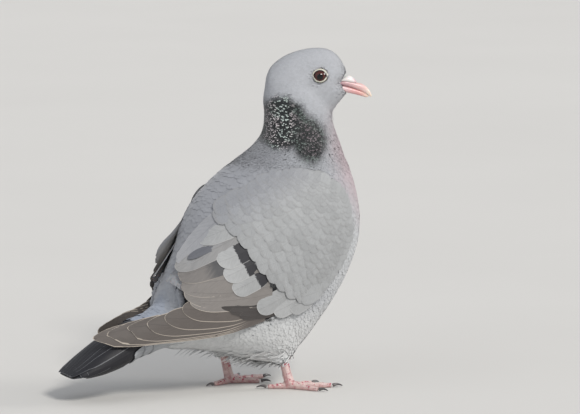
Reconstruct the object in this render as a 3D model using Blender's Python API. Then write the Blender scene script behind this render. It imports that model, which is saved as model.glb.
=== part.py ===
"""A stock dove standing at life size: a still model of the whole bird.

The bird faces +X, its left side is at +Y, and its soles stand on Z = 0. All sizes below are in
millimetres. The body is lofted whole through a few named stations, the folded wings are inlaid in
its sides, and thin cuts then part it where a person would name the parts.
"""
import math
from dataclasses import dataclass

import bmesh
import bpy
from mathutils import Matrix, Vector

MM = 0.001
GAP = 0.3  # clearance between neighbouring solids

# Driving dimensions
NECK_AXIS_X = 29.4  # the upright line that the head turns about
HEAD_YAW = math.radians(-25.0)  # the head looks to the bird's right
WING_PROUD = 1.2  # how far a folded wing stands out from the plumage round it
WING_DEPTH = 4.0  # how deep a folded wing is let into the body
BED_PLAY = 0.9  # how much deeper than the wing its bed is cut, as faceted curves need more room
QUILL_DEPTH = 2.2  # thickness of the folded flight feathers behind the body
EYE_RADIUS = 5.4
EYE_CENTRE = (15.3, 11.6, 211.8)  # ahead of the neck axis, out to the side, up
TOE_CUT = 8.6  # how far from the hub a toe is parted from its foot
SOLE_PRESS = 0.5  # how much of each toe's round underside is flattened
CLAW_LENGTH = 7.0
CLAW_START = 0.75  # from the toe's end to the middle of the claw's tilted root

BODY_COUNT = 26  # points round a section of the trunk
HEAD_COUNT = 18
TAIL_COUNT = 20
BILL_COUNT = 12
TOE_COUNT = 8


@dataclass(frozen=True)
class Station:
    """One cross-section of a lofted form, spanned between a top and a bottom point (x, z).

    A positive taper narrows the section towards its top, a negative one towards its bottom.
    """

    top: tuple
    bottom: tuple
    half_width: float
    taper: float = 0.0
    power: float = 2.0

    def row(self):
        """The station's numbers in one flat tuple, ready to be blended."""
        return (*self.top, *self.bottom, self.half_width, self.taper, self.power)


@dataclass(frozen=True)
class Toe:
    """One toe: its angle from the foot's heading, length, radii and number of joints."""

    name: str
    angle: float
    length: float
    base_radius: float
    tip_radius: float
    joints: int


BODY = (
    Station((-94, 53), (-84, 30.5), 19, 0.10),  # root of the tail
    Station((-76, 69), (-60, 30), 27, 0.05),  # rump and undertail
    Station((-62, 91), (-31, 25.5), 36.5),  # vent
    Station((-54, 112), (0, 15.5), 42.5, -0.05),  # belly
    Station((-48, 125.5), (20.5, 19.5), 45, -0.05),
    Station((-40, 136.5), (40, 41), 46.5),  # lower breast
    Station((-23, 150.5), (58.5, 67), 47),  # breast
    Station((-7, 160.5), (70.3, 97), 44.5, 0.05),
    Station((1.5, 167.5), (70.3, 125), 39, 0.08),  # crop
    Station((6, 174.5), (64.0, 150), 31.5, 0.05),  # foot of the neck
    Station((6.8, 184), (54.2, 177), 24.2),  # neck
    Station((5.6, 196), (52.5, 188), 22.8),  # nape
    Station((8.5, 208), (48.5, 198.5), 18.6),
    Station((14.5, 216), (44.5, 206.5), 13.0),
    Station((22, 219), (38, 213), 7.5),  # closed off inside the head
)

# The head's stations give x ahead of the neck axis, before the head is turned.
HEAD = (
    Station((-21.8, 208), (-21.8, 200), 6),  # back of the head
    Station((-18.8, 216.5), (-18.8, 192), 13.5, 0.05),
    Station((-12, 222.8), (-12, 187), 17.0, 0.10),
    Station((-4, 227), (-4, 184), 18.0, 0.12),
    Station((5, 229.6), (5, 183), 17.0, 0.14),
    Station((13, 230.6), (13, 183.5), 15.8, 0.14),  # crown
    Station((20, 229.8), (21, 186), 14.4, 0.12),
    Station((26, 226.7), (27, 190.5), 12.4, 0.08),  # forehead and throat
    Station((30.5, 220.8), (30.4, 195), 9.8, 0.05),
    Station((33.4, 214.4), (33.2, 198), 7.0),  # lores and chin
    Station((35.0, 210.0), (34.8, 199.0), 4.9),  # feathered edge round the bill
)

UPPER_BILL = (
    Station((35.4, 208.6), (35.2, 203.4), 4.2, 0.15),
    Station((38.8, 207.0), (38.2, 202.3), 3.9, 0.15),
    Station((42.8, 205.3), (42.2, 200.8), 3.3, 0.15),
    Station((46.6, 203.2), (45.8, 198.9), 2.6, 0.12),
    Station((49.2, 200.2), (47.9, 197.7), 1.6),
    Station((50.3, 197.2), (49.5, 196.4), 0.7),  # hooked tip
)

LOWER_BILL = (
    Station((35.1, 203.0), (34.9, 198.6), 3.6, -0.1),
    Station((38.1, 201.9), (38.0, 198.2), 3.3, -0.1),
    Station((42.1, 200.4), (42.0, 197.3), 2.8, -0.1),
    Station((45.7, 198.4), (45.5, 196.4), 2.1, -0.1),
    Station((47.6, 197.2), (47.4, 196.1), 1.2),
)

# Both folded wings as one hood over the rump: upright sections, widest at the wing's lower edge.
FLIGHT_HOOD = tuple(
    Station((x, top), (x, 2.0 * middle - top), half_width, 0.0, 2.1)
    for x, top, middle, half_width in (
        (-18, 144, 72, 44.0),
        (-34, 133.5, 65, 44.0),
        (-48, 120.5, 60, 42.5),
        (-58, 106.5, 57, 40.0),
        (-69, 92, 52.5, 36.5),
        (-80, 77.5, 49.5, 33.0),
        (-92, 64, 47, 29.0),
        (-104, 55.5, 44.5, 25.0),
        (-116, 50, 42.8, 20.5),
        (-125, 46.5, 42.5, 15.0),
        (-129, 44, 42.5, 9.0),
    )
)

# The closed tail: sections leaning back over a hollow underside, like a roof.
TAIL = (
    Station((-78, 56), (-78, 31.8), 17),
    Station((-94, 51), (-94, 26.5), 19.5),
    Station((-106, 44.5), (-106, 20), 20),
    Station((-118, 37), (-118, 16.8), 20),
    Station((-128, 29), (-128, 15.8), 19.5),
    Station((-135.5, 22.5), (-135.5, 15.6), 17.5),
    Station((-139.5, 19), (-139.5, 15.6), 13.5),
    Station((-141.5, 17.6), (-141.5, 16), 7),
)
TAIL_HOLLOW = 0.45  # how far the tail's underside rises towards its ridge, as a share

# Side outline of the folded wing (x, z), from its tip along the lower edge to the wrist and back.
WING_OUTLINE = (
    (-137, 43.5), (-124, 40.5), (-100, 42), (-85, 44), (-66, 44.5), (-50, 47), (-33, 49.5),
    (-16, 52.5), (0, 56), (18, 62), (31, 69), (41, 80), (49, 93), (53.5, 106), (54, 118),
    (51, 129), (44, 138), (34, 146), (22, 151.5), (8, 155.5), (-6, 162), (-30, 168), (-140, 62),
)
FAR_FOLD = (-60, 0.80)  # behind this x the left wing is shorter, by this factor
BED_END = -66  # behind this x the wings lie clear of the rump, in no bed
# Half of the strip along the back that the wings leave free, seen from above (x, y).
BACK_STRIP = ((80, 27), (14, 24), (-18, 20), (-45, 15), (-70, 12), (-95, 9), (-120, 6), (-150, 5))

# Thin cuts, each a line of (x, z) points swept across the bird.
QUILL_CUT = ((-8, 40), (-17, 58), (-30, 65), (-44, 62.5), (-56, 63), (-67, 68), (-77, 78), (-86, 96),
             (-92, 120))
COVERT_CUT = ((0, 38), (-6, 58), (-16, 72), (-32, 86), (-48, 99), (-62, 120), (-76, 150))
BODY_CUTS = (
    ((-40, 192), (95, 182.5)),  # head and neck
    ((-50, 196), (110, 133)),  # neck and breast
    ((-66, 162), (46, -14)),  # breast and belly
    ((-88, 104), (-30, -8)),  # belly and rump
    ((-106, 74), (-77, 12)),  # rump and tail
)
BODY_PARTS = {
    "head": (40, 212), "neck": (30, 174), "breast": (20, 110), "belly": (-35, 65),
    "rump": (-75, 50), "tail": (-115, 33),
}
WING_PARTS = {"coverts": (15, 105), "tertials": (-45, 80), "primaries": (-80, 55)}

# Legs: where each leaves the belly and where its toes meet (x, y, z), and the way it points.
LEGS = {
    "right": ((9.0, -17.0, 27.0), (15.0, -18.0, 4.4), math.radians(-16.0)),
    "left": ((-20.0, 17.0, 29.0), (-13.5, 18.0, 4.4), math.radians(14.0)),
}
TARSUS_RADIUS = 3.0
THIGH_RADII = (11.0, 5.6)
TOES = (
    Toe("inner_toe", 36.0, 21.0, 2.5, 1.7, 3),
    Toe("middle_toe", 0.0, 29.0, 2.7, 1.8, 4),
    Toe("outer_toe", -37.0, 22.0, 2.4, 1.7, 4),
    Toe("hind_toe", 172.0, 14.5, 2.4, 1.7, 2),
)

SLATE = (0.30, 0.32, 0.36)
PALE_GREY = (0.50, 0.52, 0.53)
DARK_QUILL = (0.16, 0.15, 0.15)
VINOUS = (0.34, 0.28, 0.31)
ROSE = (0.60, 0.24, 0.24)
LEG_PINK = (0.55, 0.32, 0.32)
CLAW_GREY = (0.05, 0.05, 0.055)
PART_COLOURS = {
    "head": SLATE, "neck": (0.10, 0.13, 0.13), "breast": VINOUS, "belly": PALE_GREY, "rump": SLATE,
    "tail": (0.05, 0.05, 0.06), "coverts": PALE_GREY, "tertials": (0.32, 0.31, 0.31),
    "primaries": DARK_QUILL, "thigh": PALE_GREY, "claw": CLAW_GREY,
}

HEAD_PLACE = Matrix.Translation((NECK_AXIS_X, 0, 0)) @ Matrix.Rotation(HEAD_YAW, 4, "Z")


def clear_scene():
    """Remove every object, so that the script can be run again."""
    for old in list(bpy.data.objects):
        bpy.data.objects.remove(old, do_unlink=True)


def blend_rows(before, start, end, after, t):
    """Catmull-Rom blend of four rows of numbers, at t between start and end."""
    return tuple(
        0.5 * (2 * b + (c - a) * t + (2 * a - 5 * b + 4 * c - d) * t * t
               + (3 * b - a - 3 * c + d) * t ** 3)
        for a, b, c, d in zip(before, start, end, after)
    )


def smooth_rows(rows, steps):
    """Rows through the given ones, with `steps` spans between each neighbouring pair."""
    result = []
    for index in range(len(rows) - 1):
        before = rows[max(index - 1, 0)]
        after = rows[min(index + 2, len(rows) - 1)]
        for step in range(steps):
            result.append(blend_rows(before, rows[index], rows[index + 1], after, step / steps))
    return result + [rows[-1]]


def rounded(value, power):
    """A cosine or sine raised to 2 / power with its sign kept: a superellipse's coordinate."""
    return math.copysign(abs(value) ** (2.0 / power), value)


def section_ring(row, count, inset):
    """Points round one section in millimetres, drawn `inset` inside its outline."""
    top_x, top_z, bottom_x, bottom_z, half_width, taper, power = row
    top, bottom = Vector((top_x, 0, top_z)), Vector((bottom_x, 0, bottom_z))
    centre = (top + bottom) / 2
    half_depth = (top - bottom).length / 2
    up = (top - bottom).normalized()
    ring = []
    for index in range(count):
        angle = 2 * math.pi * index / count
        height = rounded(math.cos(angle), power)
        width = rounded(math.sin(angle), power) * (1 - taper * height)
        ring.append(centre + up * height * (half_depth - inset)
                    + Vector((0, width * (half_width - inset), 0)))
    return ring


def mesh_object(name, bm, place=None):
    """Turn a bmesh in millimetres into an object in metres, with its faces pointing out."""
    if place:
        bmesh.ops.transform(bm, matrix=place, verts=bm.verts)
    bmesh.ops.scale(bm, vec=(MM, MM, MM), verts=bm.verts)
    bmesh.ops.recalc_face_normals(bm, faces=bm.faces)
    if bm.calc_volume(signed=True) < 0:
        bmesh.ops.reverse_faces(bm, faces=bm.faces)
    mesh = bpy.data.meshes.new(name)
    bm.to_mesh(mesh)
    bm.free()
    part = bpy.data.objects.new(name, mesh)
    bpy.context.collection.objects.link(part)
    return part


def tube_of_rings(name, rings, place=None):
    """Join rings of equally many points into one closed body with flat ends."""
    bm = bmesh.new()
    loops = [[bm.verts.new(point) for point in ring] for ring in rings]
    count = len(loops[0])
    for near, far in zip(loops, loops[1:]):
        for index in range(count):
            after = (index + 1) % count
            bm.faces.new((near[index], near[after], far[after], far[index]))
    bm.faces.new(loops[0])
    bm.faces.new(loops[-1])
    return mesh_object(name, bm, place)


def loft(name, stations, count, steps=2, inset=0.0, place=None):
    """A closed body through the stations, optionally drawn inside (or, below zero, outside) them."""
    rows = smooth_rows([station.row() for station in stations], steps)
    return tube_of_rings(name, [section_ring(row, count, inset) for row in rows], place)


def prism(name, outline, low, high, swept="Y"):
    """A closed prism: the outline (x, z) swept along Y, or (x, y) swept along Z."""
    def point(first, second, height):
        return (first, height, second) if swept == "Y" else (first, second, height)
    rings = [[point(*corner, height) for corner in outline] for height in (low, high)]
    return tube_of_rings(name, rings)


def grown(outline, margin):
    """The outline with every corner moved out by the margin, along its neighbours' normal."""
    area = sum(a[0] * b[1] - b[0] * a[1] for a, b in zip(outline, outline[1:] + outline[:1]))
    side = 1 if area > 0 else -1
    result = []
    for index, corner in enumerate(outline):
        before, after = Vector(outline[index - 1]), Vector(outline[(index + 1) % len(outline)])
        along = (after - before).normalized()
        result.append((corner[0] + along.y * margin * side, corner[1] - along.x * margin * side))
    return tuple(result)


def knife(name, line):
    """A thin wall, one gap thick, that follows the line (x, z) and is swept across the bird."""
    points = [Vector(point) for point in line]
    sides = ([], [])
    for index, point in enumerate(points):
        before, after = points[max(index - 1, 0)], points[min(index + 1, len(points) - 1)]
        along = (after - before).normalized()
        across = Vector((-along.y, along.x)) * GAP / 2
        sides[0].append(tuple(point + across))
        sides[1].append(tuple(point - across))
    return prism(name, tuple(sides[0] + sides[1][::-1]), -70, 70)


def combine(target, cutter, operation):
    """Apply one Boolean to the target's mesh, and remove the cutter."""
    modifier = target.modifiers.new(operation, "BOOLEAN")
    modifier.object = cutter
    modifier.operation = operation
    modifier.solver = "EXACT"
    shape = bpy.data.meshes.new_from_object(target.evaluated_get(bpy.context.evaluated_depsgraph_get()))
    target.modifiers.clear()
    target.data = shape
    bpy.data.objects.remove(cutter, do_unlink=True)


def split_pieces(source):
    """Part an object into one object for each closed body in its mesh."""
    whole = bmesh.new()
    whole.from_mesh(source.data)
    owner = {}
    pieces = []
    for start in whole.verts:
        if start in owner:
            continue
        piece = bmesh.new()
        owner[start] = (piece, piece.verts.new(start.co / MM))
        waiting = [start]
        while waiting:
            for edge in waiting.pop().link_edges:
                for vert in edge.verts:
                    if vert not in owner:
                        owner[vert] = (piece, piece.verts.new(vert.co / MM))
                        waiting.append(vert)
        pieces.append(piece)
    for face in whole.faces:
        piece = owner[face.verts[0]][0]
        piece.faces.new([owner[vert][1] for vert in face.verts])
    pieces = [mesh_object("piece", piece) for piece in pieces]
    whole.free()
    bpy.data.objects.remove(source, do_unlink=True)
    return pieces


def centre_of(part):
    """Centre of a part's bounding box, in millimetres."""
    corners = [Vector(corner) for corner in part.bound_box]
    return sum(corners, Vector()) / len(corners) / MM


def name_nearest(pieces, places, suffix=""):
    """Name each piece after the place (x, z) that lies nearest to its centre."""
    named = {}
    for piece in sorted(pieces, key=lambda part: len(part.data.vertices), reverse=True):
        middle = centre_of(piece)
        label = min(places, key=lambda key: math.dist(places[key], (middle.x, middle.z)))
        if label in named:
            raise ValueError(f"two pieces are nearest to {label}{suffix}: {middle}")
        piece.name = piece.data.name = label + suffix
        named[label] = piece
    return named


def finish(part, colour, roughness=0.7):
    """Give the part its own material, and shade its round faces smooth."""
    material = bpy.data.materials.new(part.name)
    material.use_nodes = True
    shader = material.node_tree.nodes["Principled BSDF"]
    shader.inputs["Base Color"].default_value = (*colour, 1)
    shader.inputs["Roughness"].default_value = roughness
    part.data.materials.clear()
    part.data.materials.append(material)
    part.data.shade_smooth()
    part.data.set_sharp_from_angle(angle=math.radians(40))


def wing_zone(side, margin=0.0):
    """The space that a folded wing takes up, on the left (side 1) or the right (side -1)."""
    start, factor = FAR_FOLD
    outline = tuple(
        (start + (x - start) * factor, z) if side > 0 and x < start else (x, z)
        for x, z in WING_OUTLINE
    )
    zone = prism("wing_zone", grown(outline, margin), side * 1.0, side * 80.0)
    strip = [(x, side * (y - margin)) for x, y in BACK_STRIP] + [(-150, -2 * side), (80, -2 * side)]
    combine(zone, prism("strip", tuple(strip), -10, 260, swept="Z"), "DIFFERENCE")
    return zone


def tail_blank():
    """The closed tail: a loft whose underside is pushed up towards the ridge."""
    rings = []
    for row in (station.row() for station in TAIL):
        ring = section_ring(row, TAIL_COUNT, 0.0)
        top, bottom = row[1], row[3]
        for point in ring:
            share = 1 - min(1.0, abs(point.y) / row[4]) ** 1.6
            low = bottom + (top - bottom) * TAIL_HOLLOW * share
            high = bottom + (top - bottom) * (0.25 + 0.75 * share)
            lift = (point.z - bottom) / (top - bottom)
            point.z = low + (high - low) * lift
        rings.append(ring)
    return tube_of_rings("tail", rings)


def build_body():
    """The whole body with its wing beds and eye sockets cut in, parted into its named pieces."""
    body = loft("body", BODY, BODY_COUNT)
    combine(body, loft("head_blank", HEAD, HEAD_COUNT, place=HEAD_PLACE), "UNION")
    combine(body, tail_blank(), "UNION")
    for side in (-1, 1):
        bed = wing_zone(side, GAP)
        behind = ((-200, -20), (BED_END, -20), (BED_END, 260), (-200, 260))
        combine(bed, prism("behind", behind, -90, 90), "DIFFERENCE")
        combine(bed, loft("core", BODY, BODY_COUNT, 1, WING_DEPTH + BED_PLAY), "DIFFERENCE")
        combine(body, bed, "DIFFERENCE")
        combine(body, ball("socket", EYE_RADIUS + GAP, side), "DIFFERENCE")
    for line in BODY_CUTS:
        combine(body, knife("cut", line), "DIFFERENCE")
    return name_nearest(split_pieces(body), BODY_PARTS)


def ball(name, radius, side):
    """A sphere at the eye's place in the turned head."""
    forward, sideways, up = EYE_CENTRE
    bm = bmesh.new()
    bmesh.ops.create_uvsphere(bm, u_segments=14, v_segments=9, radius=radius)
    bmesh.ops.rotate(bm, verts=bm.verts, matrix=Matrix.Rotation(math.radians(90), 3, "X"))
    return mesh_object(name, bm, HEAD_PLACE @ Matrix.Translation((forward, side * sideways, up)))


def build_eyes():
    """The two eyeballs, each a sphere with its pole facing sideways."""
    for label, side in (("right", -1), ("left", 1)):
        finish(ball("eye_" + label, EYE_RADIUS, side), (0.08, 0.012, 0.006), 0.1)


def build_wing(label, side):
    """One folded wing: a shell from the shoulder to the quill tips, parted by two thin cuts."""
    wing = loft("wing", BODY, BODY_COUNT, inset=-WING_PROUD)
    combine(wing, loft("hood", FLIGHT_HOOD, BODY_COUNT, 1), "UNION")
    combine(wing, loft("core", BODY, BODY_COUNT, 1, WING_DEPTH), "DIFFERENCE")
    combine(wing, loft("under", FLIGHT_HOOD[:-1], BODY_COUNT, 1, QUILL_DEPTH), "DIFFERENCE")
    combine(wing, wing_zone(side), "INTERSECT")
    combine(wing, knife("quill_cut", QUILL_CUT), "DIFFERENCE")
    combine(wing, knife("covert_cut", COVERT_CUT), "DIFFERENCE")
    return name_nearest(split_pieces(wing), WING_PARTS, "_" + label)


def build_bill():
    """Upper and lower halves of the bill, and the swollen cere over the nostrils."""
    upper = loft("bill_upper", UPPER_BILL, BILL_COUNT, place=HEAD_PLACE)
    lower = loft("bill_lower", LOWER_BILL, BILL_COUNT, place=HEAD_PLACE)
    bm = bmesh.new()
    bmesh.ops.create_uvsphere(bm, u_segments=12, v_segments=8, radius=1.0)
    bmesh.ops.scale(bm, vec=(4.6, 3.7, 2.7), verts=bm.verts)
    lean = Matrix.Translation((37.0, 0, 207.6)) @ Matrix.Rotation(math.radians(24), 4, "Y")
    cere = mesh_object("cere", bm, HEAD_PLACE @ lean)
    combine(cere, loft("room", HEAD, HEAD_COUNT, inset=-GAP, place=HEAD_PLACE), "DIFFERENCE")
    combine(cere, loft("room", UPPER_BILL, BILL_COUNT, inset=-GAP, place=HEAD_PLACE), "DIFFERENCE")
    finish(upper, ROSE, 0.45)
    finish(lower, ROSE, 0.45)
    finish(cere, (0.85, 0.82, 0.80), 0.6)


def rod(name, points, radii, count=TOE_COUNT):
    """A round body along a path of points, with a radius at each."""
    rings = []
    path = [Vector(point) for point in points]
    for index, point in enumerate(path):
        along = (path[min(index + 1, len(path) - 1)] - path[max(index - 1, 0)]).normalized()
        across = along.cross(Vector((0, 1, 0)) if abs(along.z) > 0.7 else Vector((0, 0, 1))).normalized()
        rise = across.cross(along)
        ring = []
        for corner in range(count):
            angle = 2 * math.pi * corner / count
            ring.append(point + (across * math.cos(angle) + rise * math.sin(angle)) * radii[index])
        rings.append(ring)
    return tube_of_rings(name, rings)


def toe_path(toe, hub, heading):
    """Centre line and radii of one toe, swelling at each joint and lying on the floor."""
    points, radii = [], []
    spans = 2 * toe.joints
    for index in range(spans + 1):
        share = index / spans
        swell = 1 + 0.07 * math.cos(2 * math.pi * share * toe.joints)
        radius = (toe.base_radius + (toe.tip_radius - toe.base_radius) * share) * swell
        points.append(hub + heading * toe.length * share)
        points[-1].z = radius - SOLE_PRESS
        radii.append(radius)
    return points, radii


def build_claw(name, start, heading, radius):
    """One curved claw that leaves the toe's end and comes down to the floor."""
    points, radii = [], []
    for index in range(5):
        share = index / 4
        drop = start.z - 0.75 - 0.3
        point = start + heading * (CLAW_START + CLAW_LENGTH * share)
        point.z = start.z + 0.9 * math.sin(math.pi * share) - drop * share ** 1.6
        points.append(point)
        radii.append(radius + (0.35 - radius) * share)
    finish(rod(name, points, radii, 6), CLAW_GREY, 0.4)


def build_leg(label, side):
    """Thigh, tarsus and foot of one leg, with the toes parted off and their claws."""
    knee, hub, heading = LEGS[label]
    knee, hub = Vector(knee), Vector(hub)
    middle = (knee + hub) / 2
    foot = rod("foot", (knee, middle, hub), (TARSUS_RADIUS * 1.1, TARSUS_RADIUS, TARSUS_RADIUS * 1.15), 10)
    bm = bmesh.new()
    bmesh.ops.create_uvsphere(bm, u_segments=10, v_segments=6, radius=3.7)
    combine(foot, mesh_object("hub", bm, Matrix.Translation(hub)), "UNION")
    directions = {}
    for toe in TOES:
        angle = heading + math.radians(toe.angle) * -side
        directions[toe.name] = Vector((math.cos(angle), math.sin(angle), 0))
        points, radii = toe_path(toe, hub, directions[toe.name])
        combine(foot, rod("toe", points, radii), "UNION")
        build_claw(f"{toe.name}_claw_{label}", points[-1], directions[toe.name], toe.tip_radius * 0.85)
    floor = prism("floor", ((-200, -20), (200, -20), (200, 0), (-200, 0)), -100, 100)
    combine(foot, floor, "DIFFERENCE")
    combine(foot, loft("room", BODY, BODY_COUNT, inset=-GAP), "DIFFERENCE")
    places = {"tarsus": hub}
    for toe in TOES:
        way = directions[toe.name]
        across = Vector((-way.y, way.x, 0))
        near = hub + way * TOE_CUT
        corners = [near - across * 4, near - across * 4 + way * GAP,
                   near + across * 4 + way * GAP, near + across * 4]
        outline = tuple((corner.x, corner.y) for corner in corners)
        combine(foot, prism("toe_cut", outline, -1, 8, swept="Z"), "DIFFERENCE")
        places[toe.name] = hub + way * (TOE_CUT + toe.length) / 2
    for piece in split_pieces(foot):
        middle = centre_of(piece)
        nearest = min(places, key=lambda key: (places[key].xy - middle.xy).length)
        piece.name = piece.data.name = f"{nearest}_{label}"
        finish(piece, LEG_PINK, 0.55)
    thigh = rod("thigh_" + label, (knee + Vector((-5, 0, 18)), knee - Vector((-1, 0, 9.5))), THIGH_RADII, 16)
    combine(thigh, loft("room", BODY, BODY_COUNT, inset=-GAP), "DIFFERENCE")
    sleeve = rod("sleeve", (knee + (knee - hub) / 2, hub), (TARSUS_RADIUS * 1.2 + GAP,) * 2, 10)
    combine(thigh, sleeve, "DIFFERENCE")
    finish(thigh, PALE_GREY)


def centre_model():
    """Hang every part on one empty, moved so that the bird's box stands centred on the origin."""
    parts = [part for part in bpy.data.objects if part.type == "MESH"]
    corners = [Vector(corner) for part in parts for corner in part.bound_box]
    root = bpy.data.objects.new("stock_dove", None)
    bpy.context.collection.objects.link(root)
    for part in parts:
        part.parent = root
    for axis in (0, 1):
        values = [corner[axis] for corner in corners]
        root.location[axis] = -(min(values) + max(values)) / 2


def main():
    """Build the bird part by part."""
    clear_scene()
    for label, part in build_body().items():
        finish(part, PART_COLOURS[label])
    for label, side in (("right", -1), ("left", 1)):
        for name, part in build_wing(label, side).items():
            finish(part, PART_COLOURS[name])
        build_leg(label, side)
    build_eyes()
    build_bill()
    centre_model()


main()
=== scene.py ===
"""A life-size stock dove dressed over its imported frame: skin, plumage, bill, eyes and feet.

Sizes are in millimetres in the bird's own pose space, whose origin lies under the breast, unless a
name says otherwise. The frame's space is the same one moved by STANCE and counted in metres.
"""
import logging
import math
from dataclasses import dataclass, field, replace
from enum import Enum
from typing import Callable, Sequence

import bmesh
import bpy
import numpy as np
from mathutils import Matrix, Vector
from mathutils.bvhtree import BVHTree


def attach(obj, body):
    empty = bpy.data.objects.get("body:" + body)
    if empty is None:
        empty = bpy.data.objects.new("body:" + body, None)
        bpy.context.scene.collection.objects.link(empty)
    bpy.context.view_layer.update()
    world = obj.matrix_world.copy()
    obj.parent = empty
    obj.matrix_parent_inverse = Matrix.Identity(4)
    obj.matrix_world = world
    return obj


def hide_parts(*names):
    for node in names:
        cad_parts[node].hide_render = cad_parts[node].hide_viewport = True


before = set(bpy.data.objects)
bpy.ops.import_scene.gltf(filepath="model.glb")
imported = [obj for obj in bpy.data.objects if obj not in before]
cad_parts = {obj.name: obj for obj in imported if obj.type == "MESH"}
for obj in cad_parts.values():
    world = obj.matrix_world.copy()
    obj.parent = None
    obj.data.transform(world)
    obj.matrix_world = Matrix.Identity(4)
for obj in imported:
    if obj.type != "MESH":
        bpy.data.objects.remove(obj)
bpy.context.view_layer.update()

LOG = logging.getLogger("dove")
MM = 0.001
STANCE = np.array((33.2, 0.0, 0.0))  # from the pose's origin to the frame's
NECK_AXIS = 29.4  # the head turns about this upright line
HEAD_TURN = math.radians(-25.0)
Pair = tuple[float, float]
Triple = tuple[float, float, float]
Colour = tuple[float, float, float]
Rows = np.ndarray
Mesh = bpy.types.Mesh
Material = bpy.types.Material
Node = bpy.types.Node
Socket = bpy.types.NodeSocket


class Side(Enum):
    """A side of the bird and the sign of its Y."""

    RIGHT = -1
    LEFT = 1

    @property
    def label(self) -> str:
        """Its word in the names of nodes and pieces."""
        return self.name.lower()


def framed(points: Rows) -> Rows:
    """Pose millimetres as frame metres."""
    return (np.asarray(points, float) + STANCE) * MM


def posed(points: Rows) -> Rows:
    """Frame metres as pose millimetres."""
    return np.asarray(points, float) / MM - STANCE


def head_point(ahead: float, aside: float, up: float) -> Rows:
    """A point of the turned head.

    Args:
        ahead: Distance ahead of the neck's axis.
        aside: Distance to the left of the head's middle plane.
        up: Height over the floor.

    Returns:
        The point in pose millimetres.
    """
    turn = Matrix.Rotation(HEAD_TURN, 3, "Z")
    return np.array(turn @ Vector((ahead, aside, up))) + (NECK_AXIS, 0, 0)


def ease(value: Rows, low: float, high: float) -> Rows:
    """A smooth step of the value, from 0 at low to 1 at high."""
    t = np.clip((np.asarray(value, float) - low) / (high - low), 0, 1)
    return t * t * (3 - 2 * t)


def unit(vectors: Rows) -> Rows:
    """The vectors at length one."""
    return vectors / np.maximum(np.linalg.norm(vectors, axis=-1, keepdims=True), 1e-9)


def along(points: Sequence[Sequence[float]], where: Rows) -> Rows:
    """Points on a smooth curve through the given ones.

    Args:
        points: What the curve passes through.
        where: Places on it, from 0 at its start to 1 at its end.

    Returns:
        One row for each place.
    """
    knots = np.asarray(points, float)
    last = len(knots) - 1
    place = np.clip(np.atleast_1d(where), 0, 1) * last
    index = np.minimum(place.astype(int), last - 1)
    t = (place - index)[:, None]
    padded = np.vstack((2 * knots[0] - knots[1], knots, 2 * knots[-1] - knots[-2]))
    a, b, c, d = (padded[index + shift] for shift in range(4))
    return 0.5 * (2 * b + (c - a) * t + (2 * a - 5 * b + 4 * c - d) * t**2 + (3 * b - a - 3 * c + d) * t**3)


HEAD_AHEAD, HEAD_ASIDE = (unit(head_point(*way) - head_point(0, 0, 0)) for way in ((1, 0, 0), (0, 1, 0)))


# ---------------------------------------------------------------- nodes


def solid(value: object) -> object:
    """A colour with its alpha where it is given as three numbers."""
    return (*value, 1.0) if isinstance(value, (tuple, list)) and len(value) == 3 else value


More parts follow.
